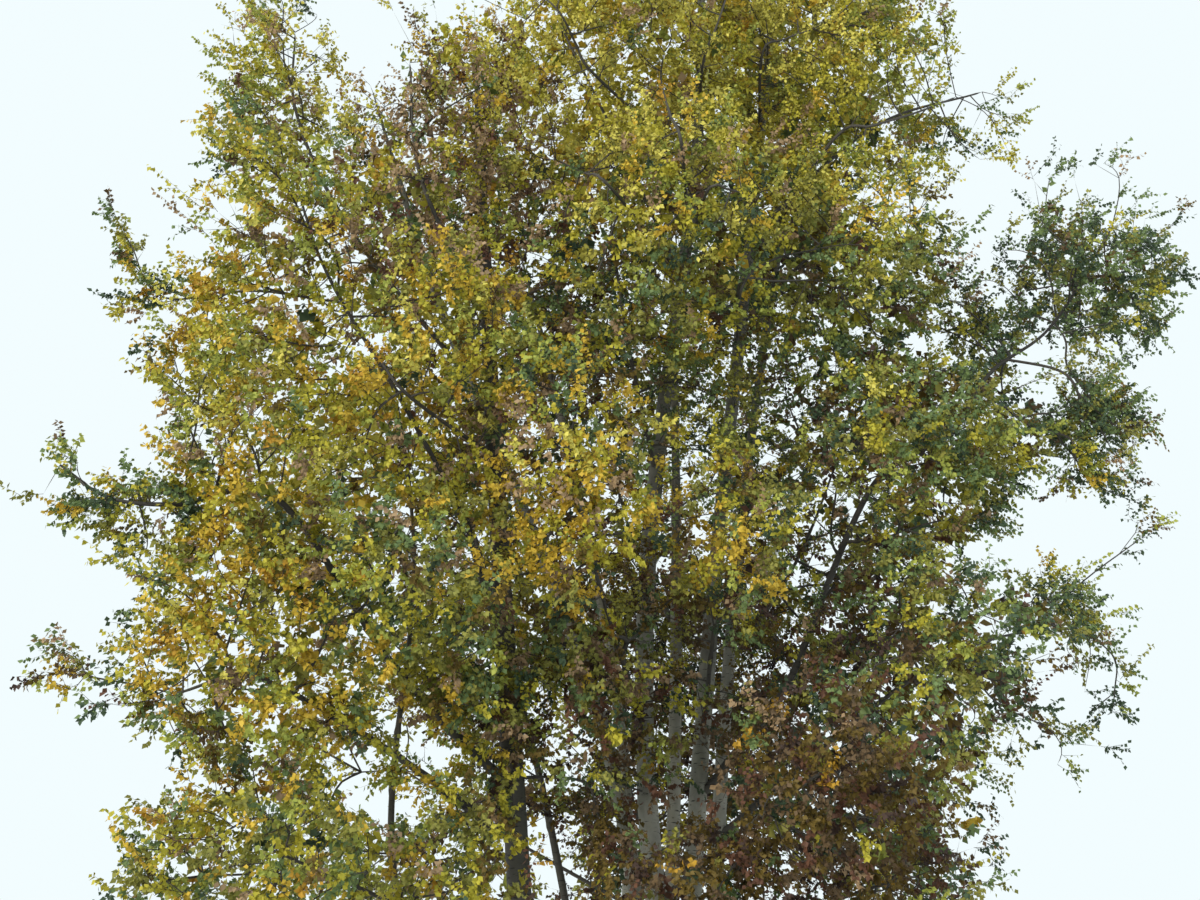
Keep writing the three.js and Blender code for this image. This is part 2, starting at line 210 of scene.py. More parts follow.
# Bark relief: the grain of its swellings and ridges, how far they stand out, and the scars
SWELL_GRAIN = (2.2, 2.2, 0.9)
FINE_GRAIN = (9.0, 9.0, 3.0)
RIDGE_GRAIN = (26.0, 26.0, 3.2)
SWELL = 0.07
FINE_SWELL = 0.03
RIDGE_HEIGHT = 0.004
RIDGE_DEPTH = 0.02
ROUGH_HEIGHT = 1.1
RELIEF_LIMIT = 0.4
SCAR_SIZE = (0.018, 0.04)
SCAR_WIDTH = 1.5
SCAR_SLANT = 0.35
SCAR_RIM = 0.3
SCAR_RIM_WIDTH = 0.35
SCAR_HOLLOW = 0.22
SCAR_HOLLOW_WIDTH = 0.6
SCAR_JITTER = 0.12
FIRST_SCAR = 0.4
STEM_SCAR_SPACING = 0.3
BOUGH_SCAR_SPACING = 0.4

# Bark colour: scale, stretch, detail and roughness of each noise, the span of it over which each
# blend comes in, and the heights between which the bark darkens, with the most that it does: at the
# foot, and high in the crown, where the darkening is painted shade of the leaves
MOTTLE_NOISE = (3.0, (1, 1, 0.6), 5, 0.6)
MOTTLE_SPAN = (0.42, 0.68)
MOSS_NOISE = (1.3, (1, 1, 0.5), 4, 0.6)
MOSS_SPAN = (0.52, 0.75)
MARK_NOISE = (9.0, (1, 1, 5.0), 3, 0.55)
MARK_SPAN = (0.7, 0.78)
GRAIN_NOISE = (30.0, (1, 1, 0.5), 6, 0.65)
DARK_FOOT = (1.6, 0.1, 0.4)
# Painted shade: the bark darkens high in the crown, where the leaves shade it
CROWN_PAINTED_SHADE = (3.4, 6.5, 0.6)
BARK_ROUGHNESS = 0.78
BUMP_STRENGTH = 0.35
BUMP_DISTANCE = 0.004

# Floor and light
FLOOR_SIZE = 120
FLOOR_COLOUR = (0.82, 0.82, 0.8)
FLOOR_ROUGHNESS = 0.9
BACKDROP_COLOUR = (0.89, 0.98, 1.0)
FILL_COLOUR = (0.82, 0.92, 1.0)
FILL_STRENGTH = 1.25
SUN_COLOUR = (1.0, 0.93, 0.80)
SUN_ENERGY = 2.05
SUN_SPREAD = 14
SUN_TOWARDS = (0.72, 0.68, -0.2)

# Openings where the photograph shows sky, by their place on the crown: middle and half size of
# each ellipse in its pixels, and the share of the sprays there that is left out
OPENINGS = {
    "low left": [(382, 768, 30, 48, 0.98), (430, 775, 26, 34, 0.93)],
    "between the stems": [(560, 752, 34, 44, 0.7), (550, 860, 28, 40, 0.85), (748, 665, 14, 18, 0.7)],
    "middle": [
        (535, 460, 30, 40, 0.25), (620, 450, 34, 60, 0.3), (690, 480, 34, 70, 0.5),
        (760, 400, 40, 50, 0.35), (850, 500, 44, 40, 0.35),
    ],
    "left of the dome": [
        (178, 185, 30, 66, 0.92), (208, 215, 32, 46, 0.85), (222, 14, 28, 40, 0.93),
        (206, 72, 26, 34, 0.93),
    ],
    "right of the dome": [
        (306, 22, 12, 46, 0.88), (376, 66, 34, 54, 0.96), (395, 8, 50, 34, 0.93),
        (470, 8, 50, 26, 0.8),
    ],
    "top right": [
        (918, 10, 20, 20, 0.85), (905, 70, 40, 12, 0.4), (965, 86, 34, 34, 0.92),
        (895, 185, 50, 38, 0.4),
    ],
    "above the right arm": [
        (990, 190, 42, 58, 0.95), (980, 268, 22, 34, 0.8), (1060, 168, 52, 28, 0.82),
        (1100, 185, 50, 34, 0.82), (1178, 215, 24, 34, 0.8),
    ],
    "under the right arm": [
        (1038, 370, 24, 34, 0.95), (1096, 362, 24, 24, 0.95), (1042, 515, 38, 26, 0.85),
        (1090, 525, 40, 26, 0.9), (1104, 512, 40, 22, 0.9), (1164, 466, 38, 50, 0.95),
        (1135, 600, 36, 46, 0.9),
    ],
    "left side": [
        (136, 425, 34, 52, 0.97), (104, 600, 38, 34, 0.95), (60, 560, 40, 30, 0.95),
        (100, 655, 30, 34, 0.7), (30, 655, 40, 30, 0.9),
    ],
    "lower left edge": [
        (112, 722, 30, 30, 0.6), (166, 772, 34, 36, 0.85), (130, 820, 34, 20, 0.6),
        (70, 862, 40, 30, 0.97),
    ],
    "lower right edge": [
        (1060, 672, 50, 26, 0.7), (1062, 745, 70, 50, 0.62), (1160, 660, 26, 60, 0.85),
        (1035, 830, 44, 70, 0.97), (985, 858, 34, 60, 0.8),
    ],
}

# Closer foliage, by its place on the crown: middle and half size of each ellipse in the
# photograph's pixels, and how many times as many sprays grow there
CLOSER = {
    "top": [
        (650, 85, 180, 80, 1.9), (470, 150, 60, 70, 1.6), (765, 85, 50, 60, 2.2),
        (880, 45, 40, 30, 2.0), (860, 190, 60, 70, 1.9),
    ],
    "dome": [(290, 150, 90, 80, 1.2), (276, 36, 11, 46, 2.6), (334, 34, 13, 30, 1.8)],
    "left side": [
        (260, 340, 120, 130, 1.25), (170, 300, 50, 36, 1.8), (190, 545, 36, 34, 2.0),
        (300, 410, 60, 40, 1.6), (250, 620, 100, 60, 1.3), (240, 730, 80, 60, 1.3),
    ],
    "middle": [
        (740, 410, 90, 60, 1.6), (575, 430, 50, 60, 1.8), (630, 650, 130, 50, 2.2),
        (760, 640, 44, 40, 2.0), (590, 800, 26, 40, 2.0),
    ],
    "right side": [
        (820, 330, 120, 100, 1.4), (905, 430, 80, 110, 1.5), (965, 490, 24, 50, 1.6),
        (920, 610, 70, 60, 1.5), (1090, 610, 50, 36, 2.0), (830, 830, 90, 60, 1.6),
    ],
    "right arm": [(1040, 300, 90, 60, 2.0), (1080, 466, 40, 20, 1.6), (1125, 385, 30, 40, 1.5)],
}

# Leafy shoots that stand before the stems or past the masses of foliage, by their place: middle
# and half size of each ellipse in the photograph's pixels, how far back they stand (least and
# most y, in metres), and their number
EXTRA_SPRAYS = {
    "before the pale stems": [
        (635, 755, 46, 38, -1.6, -0.6, 60), (660, 690, 26, 36, -1.3, -0.5, 26),
        (630, 590, 28, 52, -1.4, -0.5, 40), (735, 725, 36, 46, -1.1, 0.0, 50),
        (692, 615, 24, 32, -1.0, -0.1, 28), (725, 862, 38, 34, -1.8, -0.6, 50),
        (608, 830, 24, 26, -1.7, -0.8, 20), (590, 690, 24, 40, -1.2, -0.2, 30),
        (700, 430, 70, 60, -1.2, -0.3, 60), (640, 330, 60, 60, -1.4, -0.4, 46),
    ],
    "before the dark stem": [
        (470, 500, 30, 60, -2.4, -1.6, 34), (480, 720, 22, 60, -2.2, -1.4, 34),
        (440, 690, 46, 30, -2.9, -2.0, 56), (345, 715, 30, 22, -3.4, -2.6, 30),
        (535, 700, 26, 44, -1.6, -0.7, 34),
    ],
    "left edge": [
        (152, 300, 22, 18, -2.4, -1.4, 14), (112, 220, 4, 14, -2.2, -1.9, 3),
        (134, 258, 14, 12, -2.2, -1.6, 12), (112, 508, 32, 12, -3.1, -2.7, 24),
        (146, 540, 14, 14, -3.1, -2.7, 8), (165, 500, 36, 9, -3.1, -2.7, 14),
        (72, 668, 28, 22, -3.2, -2.8, 11),
    ],
    "round the low openings": [
        (368, 736, 18, 12, -3.2, -2.6, 14), (414, 772, 24, 9, -2.8, -2.4, 12),
        (440, 792, 16, 8, -2.7, -2.3, 9), (535, 742, 9, 36, -1.6, -1.0, 10),
        (556, 806, 34, 12, -0.9, -0.3, 26), (504, 785, 12, 60, -2.2, -1.6, 18),
        (505, 700, 22, 50, -2.6, -1.9, 22),
    ],
    "gold shoots in front": [(576, 535, 20, 62, -3.4, -3.0, 30), (738, 562, 34, 12, -1.7, -1.3, 16)],
    "right arm": [
        (975, 322, 30, 14, -0.6, 0.6, 26), (1069, 364, 6, 20, -0.4, 0.6, 8),
        (1066, 440, 18, 46, -0.4, 0.6, 50), (1112, 412, 26, 24, -0.4, 0.6, 44),
        (1088, 400, 14, 26, -0.5, 0.5, 30), (1100, 366, 6, 24, -0.4, 0.4, 8),
        (962, 290, 12, 16, -0.6, 0.6, 14), (985, 150, 24, 12, -0.6, 0.6, 9),
        (1142, 515, 12, 30, -0.4, 0.4, 9), (1088, 480, 24, 12, -0.4, 0.6, 14),
    ],
    "top right": [(872, 12, 18, 24, -0.8, 0.6, 40)],
    "right of the pale stems": [(745, 640, 16, 22, -0.8, 1.2, 36)],
    "before the left bough": [(298, 540, 32, 28, -3.1, -2.7, 18), (350, 612, 26, 28, -2.9, -2.5, 16)],
}

# Leafy shoots that leave the near side of the stems and veil them: the stem, the least and most
# height, and their number
STEM_SHOOTS = [
    ("stem_dark", 7.4, 12.4, 130),
    ("stem_left", 10.2, 12.6, 44),
    ("stem_left", 6.6, 9.4, 30),
    ("stem_dark", 4.4, 7.4, 40),
    ("stem_dark", 2.8, 4.4, 16),
    ("stem_right", 11.2, 15.0, 70),
    ("stem_right", 4.2, 8.2, 60),
    ("stem_front", 11.0, 14.0, 46),
    ("stem_front", 4.6, 8.4, 60),
    ("stem_behind", 5.0, 9.0, 36),
    ("stem_behind_right", 4.4, 8.4, 44),
    ("stem_slender", 2.2, 4.4, 12),
]

# Limbs that carry on from the boughs to the furthest foliage: the points that each passes beyond
# its bough, in metres
GUIDES = {
    "bough_right_middle": [
        (2.75, -0.1, 6.75), (3.77, -0.2, 7.44), (4.4, -0.25, 8.3), (5.3, -0.2, 9.0), (6.4, 0.0, 10.6),
    ],
    "bough_right_low": [(3.4, -0.5, 4.5), (4.9, 0.0, 5.0)],
    "bough_left_middle": [
        (-4.2, -2.6, 5.8), (-5.13, -2.9, 5.63), (-5.81, -3.0, 5.67), (-6.38, -3.0, 6.03),
    ],
    "bough_left_low": [(-4.2, -2.8, 3.85), (-4.9, -3.0, 3.65)],
    "bough_inner_left": [(-2.9, -2.6, 6.9), (-3.9, -2.5, 8.6), (-4.5, -2.2, 10.2)],
    "bough_left_skirt": [(-3.9, -2.7, 2.2)],
    "bough_gold_front": [(-1.0, -2.9, 5.8), (-0.95, -3.1, 6.8)],
    "bough_brown_low": [(1.7, -2.2, 3.1)],
    "bough_right_skirt": [(2.6, -0.9, 2.0)],
    "bough_back_low": [(-0.3, 3.3, 3.3), (-0.5, 4.0, 4.4)],
}

# Limbs that leave a stem high in the crown: the stem, the height, the thickness at the start,
# and the points that each passes, in metres
UPPER_LIMBS = [
    ("stem_right", 10.6, 0.07, [(3.2, 0.1, 12.3), (4.9, 0.2, 13.0)]),
    ("stem_right", 9.2, 0.06, [(2.3, -0.4, 10.1), (3.3, -0.8, 10.3)]),
    ("stem_right", 12.5, 0.06, [(2.9, 0.0, 14.0), (3.6, 0.2, 14.6)]),
    ("stem_left", 8.2, 0.07, [(-3.9, -1.3, 9.8), (-4.6, -1.8, 11.2), (-4.7, -1.9, 12.4)]),
    ("stem_front", 9.8, 0.06, [(-0.6, -1.0, 11.6), (-1.3, -1.1, 13.2)]),
    ("stem_front", 6.9, 0.06, [(-0.4, -1.2, 8.4), (-0.6, -1.6, 9.8)]),
    ("stem_dark", 8.4, 0.07, [(-2.9, -2.2, 10.0), (-3.2, -1.8, 12.0)]),
    ("stem_behind", 5.2, 0.07, [(-0.2, 2.9, 6.8), (-0.6, 3.6, 8.6)]),
    ("stem_behind_right", 4.6, 0.07, [(2.1, 2.0, 6.4), (3.0, 2.6, 8.4)]),
    ("stem_behind_left", 3.6, 0.06, [(-2.2, 1.2, 5.2), (-3.4, 1.5, 7.2)]),
    ("stem_behind_left", 1.7, 0.05, [(-2.0, 1.2, 2.6), (-3.3, 1.6, 3.4)]),
    ("stem_behind_right", 1.9, 0.06, [(1.8, 1.6, 2.7), (3.0, 2.4, 3.6)]),
]

# Dark limbs that the photograph shows on the near face of the crown, by their place: the stem, the
# height, the thickness at the start, and the photograph's pixels that each passes
SHOWN_LIMBS = {
    "top middle": ("stem_front", 10.4, 0.05, [(682, 147), (670, 114), (661, 80), (664, 52)]),
    "top fork": ("stem_front", 12.2, 0.045, [(703, 63), (717, 25), (732, -20)]),
    "top right": ("stem_right", 12.0, 0.045, [(762, 55), (783, 40), (813, 29)]),
    "top left": ("stem_front", 11.6, 0.045, [(596, 76), (577, 46), (560, 13), (536, -10)]),
    "upper left": ("stem_front", 9.8, 0.045, [(610, 187), (585, 173), (556, 160)]),
    "upper right": ("stem_right", 10.2, 0.055, [(834, 139), (872, 126), (918, 112), (956, 97)]),
    "upper middle": ("stem_front", 9.9, 0.04, [(707, 192), (730, 190), (756, 197)]),
    "right, higher": ("stem_right", 8.7, 0.05, [(741, 290), (770, 261), (821, 248)]),
    "right, lower": ("stem_right", 9.0, 0.04, [(740, 283), (775, 281), (815, 280)]),
    "left": ("stem_dark", 6.6, 0.05, [(409, 396), (375, 352), (350, 324)]),
}


def photo_pixels(points):
    """Where the photograph's camera sees these points, in its pixels."""
    offset = np.asarray(points) - CAMERA_AT
    depth = offset[:, 1] * math.cos(CAMERA_PITCH) + offset[:, 2] * math.sin(CAMERA_PITCH)
    height = offset[:, 2] * math.cos(CAMERA_PITCH) - offset[:, 1] * math.sin(CAMERA_PITCH)
    across = IMAGE_WIDTH / 2 + FOCAL_PIXELS * offset[:, 0] / depth
    down = IMAGE_HEIGHT / 2 - FOCAL_PIXELS * height / depth
    return np.column_stack([across, down])


def on_sight_line(across, down, distance=None, y=None):
    """The points that the camera sees at these pixels, at these distances or at these y."""
    right = (np.asarray(across) - IMAGE_WIDTH / 2) / FOCAL_PIXELS
    up = (IMAGE_HEIGHT / 2 - np.asarray(down)) / FOCAL_PIXELS
    ahead = unit(np.column_stack([
        right,
        math.cos(CAMERA_PITCH) - up * math.sin(CAMERA_PITCH),
        math.sin(CAMERA_PITCH) + up * math.cos(CAMERA_PITCH),
    ]))
    reach = (y - CAMERA_AT[1]) / ahead[:, 1] if distance is None else distance
    return CAMERA_AT + ahead * reach[:, None]


def unit(vectors):
    return vectors / np.maximum(np.linalg.norm(vectors, axis=-1, keepdims=True), LEAST_LENGTH)


def mesh_arrays(node):
    mesh = NODES[node].data
    points = np.zeros(len(mesh.vertices) * 3)
    mesh.vertices.foreach_get("co", points)
    mesh.calc_loop_triangles()
    corners = np.zeros(len(mesh.loop_triangles) * 3, dtype=np.int64)
    mesh.loop_triangles.foreach_get("vertices", corners)
    return points.reshape(-1, 3), corners.reshape(-1, 3)


def new_object(name, points, faces, material):
    """A mesh from an array of points and an array of equal-sided faces."""
    mesh = bpy.data.meshes.new(name)
    sides = faces.shape[1]
    mesh.vertices.add(len(points))
    mesh.vertices.foreach_set("co", np.asarray(points, dtype=np.float32).ravel())
    mesh.loops.add(faces.size)
    mesh.loops.foreach_set("vertex_index", faces.astype(np.int32).ravel())
    mesh.polygons.add(len(faces))
    mesh.polygons.foreach_set("loop_start", np.arange(0, faces.size, sides, dtype=np.int32))
    mesh.update(calc_edges=True)
    mesh.materials.append(material)
    item = bpy.data.objects.new(name, mesh)
    bpy.context.scene.collection.objects.link(item)
    return item


def place(item, nodes):
    """What the record has to know of a piece: its body and what it stands for."""
    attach(item, "root")
    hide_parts(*nodes)


# Centre lines of the stems and boughs, measured on their solids

def stem_line(node):
    """Middle and radius of each level ring of a stem, from the foot up."""
    points, _ = mesh_arrays(node)
    levels = np.round(points[:, 2], 3)
    rings = []
    for level in np.unique(levels):
        ring = np.unique(np.round(points[levels == level], 4), axis=0)
        middle = ring.mean(axis=0)
        rings.append((*middle, np.linalg.norm(ring[:, :2] - middle[:2], axis=1).mean()))
    rings = np.array(rings)
    return rings[:, :3], rings[:, 3]


def bough_line(node):
    """Middle and radius of a bough along its length, thick end first."""
    points, corners = mesh_arrays(node)
    a, b, c = (points[corners[:, k]] for k in range(3))
    area = 0.5 * np.linalg.norm(np.cross(b - a, c - a), axis=1)
    picked = random.choice(len(area), size=BOUGH_SAMPLES, p=area / area.sum())
    u, v = random.random((2, BOUGH_SAMPLES, 1))
    flip = u + v > 1
    u, v = np.where(flip, 1 - u, u), np.where(flip, 1 - v, v)
    surface = a[picked] + u * (b - a)[picked] + v * (c - a)[picked]
    middle = surface.mean(axis=0)
    axis = np.linalg.svd(surface[::AXIS_STRIDE] - middle)[2][0]
    along = (surface - middle) @ axis
    edges = np.linspace(along.min(), along.max(), BOUGH_SLICES + 1)
    line, radius = [], []
    for low, high in zip(edges[:-1], edges[1:]):
        chosen = surface[(along >= low) & (along <= high)]
        line.append(chosen.mean(axis=0))
        flat = chosen - line[-1]
        flat -= np.outer(flat @ axis, axis)
        radius.append(np.linalg.norm(flat, axis=1).mean())
    line, radius = np.array(line), np.array(radius)
    if radius[0] < radius[-1]:
        line, radius = line[::-1], radius[::-1]
    return line, radius


def spline(points, count):
    """Catmull-Rom curve through the points, with that many points on it."""
    points = np.asarray(points, dtype=float)
    padded = np.vstack([2 * points[0] - points[1], points, 2 * points[-1] - points[-2]])
    steps = np.linspace(0, len(points) - 1, count)
    index = np.minimum(steps.astype(int), len(points) - 2)
    t = (steps - index)[:, None]
    p0, p1, p2, p3 = (padded[index + k] for k in range(4))
    return 0.5 * (2 * p1 + (p2 - p0) * t + (2 * p0 - 5 * p1 + 4 * p2 - p3) * t ** 2
                  + (3 * p1 - p0 - 3 * p2 + p3) * t ** 3)


def even_curve(points, radii, spacing):
    """The same curve and radii, with points at an even spacing."""
    rough = spline(np.column_stack([points, radii]), CURVE_DETAIL * len(points))
    steps = np.linalg.norm(np.diff(rough[:, :3], axis=0), axis=1)
    lengths = np.concatenate([[0], np.cumsum(steps)])
    count = max(int(lengths[-1] / spacing) + 1, 3)
    wanted = np.linspace(0, lengths[-1], count)
    even = np.column_stack([np.interp(wanted, lengths, rough[:, k]) for k in range(4)])
    return even[:, :3], even[:, 3]


def frames_along(points):
    """Two unit vectors across the curve at each point, turned as little as possible."""
    ahead = unit(np.gradient(points, axis=0))
    start = np.cross(ahead[0], (0.0, 1.0, 0.0))
    if np.linalg.norm(start) < LEAST_ACROSS:
        start = np.cross(ahead[0], (1.0, 0.0, 0.0))
    across = [start / np.linalg.norm(start)]
    for direction in ahead[1:]:
        carried = across[-1] - direction * (across[-1] @ direction)
        across.append(carried / np.linalg.norm(carried))
    across = np.array(across)
    return across, np.cross(ahead, across)


def ring_directions(points, sides):
    """The unit vectors outward round a curve at each of its points, and their angles."""
    across, beside = frames_along(points)
    turn = np.arange(sides) / sides * 2 * math.pi
    outward = across[:, None] * np.cos(turn)[None, :, None] + beside[:, None] * np.sin(turn)[None, :, None]
    return outward, turn


def ring_faces(rings, sides):
    """The triangles between the rings of a tube, and the numbers of the corners round one ring and
    of those that follow them."""
    ring = np.arange(rings - 1)[:, None] * sides
    side = np.arange(sides)
    following = (side + 1) % sides
    a, b = (ring + side).ravel(), (ring + following).ravel()
    faces = np.vstack([np.column_stack([a, b, b + sides]), np.column_stack([a, b + sides, a + sides])])
    return faces, side, following


# Bark

def bark_relief(points, angles, height, radius, scars):
    """How far the bark stands out at each point, in metres: broad swellings, ridges that deepen
    towards the ground, and lens-shaped scars where limbs were shed."""
    swell, fine, ridge = (
        np.array([noise.noise(Vector(p * grain)) for p in points])
        for grain in (SWELL_GRAIN, FINE_GRAIN, RIDGE_GRAIN)
    )
    rough_foot = np.exp(-height / ROUGH_HEIGHT)
    relief = radius * (SWELL * swell + FINE_SWELL * fine)
    relief += rough_foot * (RIDGE_HEIGHT - RIDGE_DEPTH * np.abs(ridge))
    for scar_height, scar_angle, size in scars:
        around = (angles - scar_angle + math.pi) % (2 * math.pi) - math.pi
        across = around * radius / (SCAR_WIDTH * size)
        upward = (height - scar_height) / size
        distance = np.hypot(across, upward + SCAR_SLANT * np.abs(across))
        rim = SCAR_RIM * np.exp(-((distance - 1) / SCAR_RIM_WIDTH) ** 2)
        relief += size * (rim - SCAR_HOLLOW * np.exp(-(distance / SCAR_HOLLOW_WIDTH) ** 2))
    return relief


def bark_tube(name, points, radii, sides, material, scar_spacing):
    """A limb with the bark's relief. It is closed at both ends."""
    outward, turn = ring_directions(points, sides)
    count = len(points)
    scars = [
        (
            height + random.uniform(-SCAR_JITTER, SCAR_JITTER),
            random.uniform(0, 2 * math.pi),
            random.uniform(*SCAR_SIZE),
        )
        for height in np.arange(points[0, 2] + FIRST_SCAR, points[-1, 2], scar_spacing)
    ]
    radius = np.repeat(radii[:, None], sides, axis=1)
    rough = (points[:, None] + outward * radius[..., None]).reshape(-1, 3)
    relief = bark_relief(rough, np.tile(turn, count), rough[:, 2], radius.ravel(), scars)
    limit = RELIEF_LIMIT * radius
    relief = np.clip(relief.reshape(count, sides), -limit, limit)
    shaped = points[:, None] + outward * (radius + relief)[..., None]
    shaped[..., 2] = np.maximum(shaped[..., 2], 0.0)
    vertices = np.vstack([shaped.reshape(-1, 3), points[:1], points[-1:]])
    faces, side, following = ring_faces(count, sides)
    low, high = len(vertices) - 2, len(vertices) - 1
    top = (count - 1) * sides
    triangles = np.vstack([
        faces,
        np.column_stack([following, side, np.full(sides, low)]),
        np.column_stack([top + side, top + following, np.full(sides, high)]),
    ])
    item = new_object(name, vertices, triangles, material)
    item.data.shade_smooth()
    return item


def material_base(name):
    """A new material, its nodes and links, and its shader."""
    material = bpy.data.materials.new(name)
    material.use_nodes = True
    nodes, links = material.node_tree.nodes, material.node_tree.links
    return material, nodes, links, nodes["Principled BSDF"]


def bark_material(name, pale, shade, dark, moss, mark_share):
    """Smooth poplar bark: mottled, with dark cross marks, rougher and darker at the foot, and
    darker again high in the crown, as painted shade of the leaves."""
    material, nodes, links, shader = material_base(name)
    coordinates = nodes.new("ShaderNodeTexCoord")

    def noise_at(scale, stretch, detail, roughness):
        mapping = nodes.new("ShaderNodeMapping")
        mapping.inputs["Scale"].default_value = stretch
        links.new(coordinates.outputs["Object"], mapping.inputs["Vector"])
        texture = nodes.new("ShaderNodeTexNoise")
        texture.inputs["Scale"].default_value = scale
        texture.inputs["Detail"].default_value = detail
        texture.inputs["Roughness"].default_value = roughness
        links.new(mapping.outputs["Vector"], texture.inputs["Vector"])
        return texture.outputs["Fac"]

    def ramp(source, low, high, most=1.0):
        node = nodes.new("ShaderNodeMapRange")
        node.inputs["From Min"].default_value = low
        node.inputs["From Max"].default_value = high
        node.inputs["To Max"].default_value = most
        links.new(source, node.inputs["Value"])
        return node.outputs["Result"]

    def blend(first, second, factor):
        node = nodes.new("ShaderNodeMix")
        node.data_type = "RGBA"
        for socket, value in ((node.inputs["A"], first), (node.inputs["B"], second)):
            if isinstance(value, tuple):
                socket.default_value = (*value, 1)
            else:
                links.new(value, socket)
        links.new(factor, node.inputs["Factor"])
        return node.outputs["Result"]

    axes = nodes.new("ShaderNodeSeparateXYZ")
    links.new(coordinates.outputs["Object"], axes.inputs["Vector"])
    height = axes.outputs["Z"]
    colour = blend(pale, shade, ramp(noise_at(*MOTTLE_NOISE), *MOTTLE_SPAN))
    colour = blend(colour, moss, ramp(noise_at(*MOSS_NOISE), *MOSS_SPAN))
    colour = blend(colour, dark, ramp(noise_at(*MARK_NOISE), *(edge - mark_share for edge in MARK_SPAN)))
    colour = blend(colour, dark, ramp(height, *DARK_FOOT))
    # Painted shade: darker high in the crown, where the leaves shade the bark
    colour = blend(colour, dark, ramp(height, *CROWN_PAINTED_SHADE))
    links.new(colour, shader.inputs["Base Color"])
    shader.inputs["Roughness"].default_value = BARK_ROUGHNESS
    bump = nodes.new("ShaderNodeBump")
    bump.inputs["Strength"].default_value = BUMP_STRENGTH
    bump.inputs["Distance"].default_value = BUMP_DISTANCE
    links.new(noise_at(*GRAIN_NOISE), bump.inputs["Height"])
    links.new(bump.outputs["Normal"], shader.inputs["Normal"])
    return material


def plain_material(name, colour, roughness, sheen=0.5):
    """One colour all over, and how much light it mirrors."""
    material, _, _, shader = material_base(name)
    shader.inputs["Specular IOR Level"].default_value = sheen
    shader.inputs["Base Color"].default_value = (*colour, 1)
    shader.inputs["Roughness"].default_value = roughness
    return material


BARK_PALE = bark_material(
    "bark_pale", pale=(0.38, 0.36, 0.29), shade=(0.18, 0.172, 0.138),
    dark=(0.037, 0.033, 0.028), moss=(0.155, 0.155, 0.095), mark_share=0.1,
)
BARK_ROOT = bark_material(
    "bark_root", pale=(0.14, 0.13, 0.1), shade=(0.07, 0.064, 0.048),
    dark=(0.024, 0.02, 0.016), moss=(0.085, 0.095, 0.045), mark_share=0.12,
)
# Bark of the dark stems and the boughs: partly their own dark colour, and darkened further as painted shade,
# for the near-black they show against the bright sky
BARK_DARK_AND_SHADED = bark_material(
    "bark_dark", pale=(0.085, 0.075, 0.06), shade=(0.05, 0.044, 0.034),
    dark=(0.022, 0.018, 0.016), moss=(0.07, 0.07, 0.045), mark_share=0.12,
)
LIMB_BARK = plain_material("limb_bark", (0.062, 0.054, 0.043), roughness=0.8)
TWIG_BARK = plain_material("twig_bark", (0.05, 0.038, 0.03), roughness=0.75)

# Leaf tints: the slot of each and its base colour, linear
TINTS = {
    # Painted light: the sunlit tint is a brighter olive that stands in for sunlight on the leaves
    "sunlit": ("leaves_olive", (0.59, 0.515, 0.095)),
    "gold": ("leaves_gold", (0.56, 0.38, 0.042)),
    "orange": ("leaves_gold", (0.44, 0.25, 0.028)),
    "yellow_green": ("leaves_olive", (0.43, 0.375, 0.038)),
    "lime": ("leaves_green", (0.33, 0.35, 0.064)),
    "tan": ("leaves_brown", (0.35, 0.235, 0.125)),
    "olive": ("leaves_olive", (0.257, 0.245, 0.052)),
    "green": ("leaves_green", (0.148, 0.203, 0.07)),
    "dark_green": ("leaves_green", (0.06, 0.091, 0.046)),
    "brown": ("leaves_brown", (0.132, 0.085, 0.042)),
    "red_brown": ("leaves_brown", (0.125, 0.058, 0.033)),
    "purple_brown": ("leaves_brown", (0.06, 0.036, 0.026)),
    "mustard": ("leaves_brown", (0.132, 0.088, 0.018)),
}

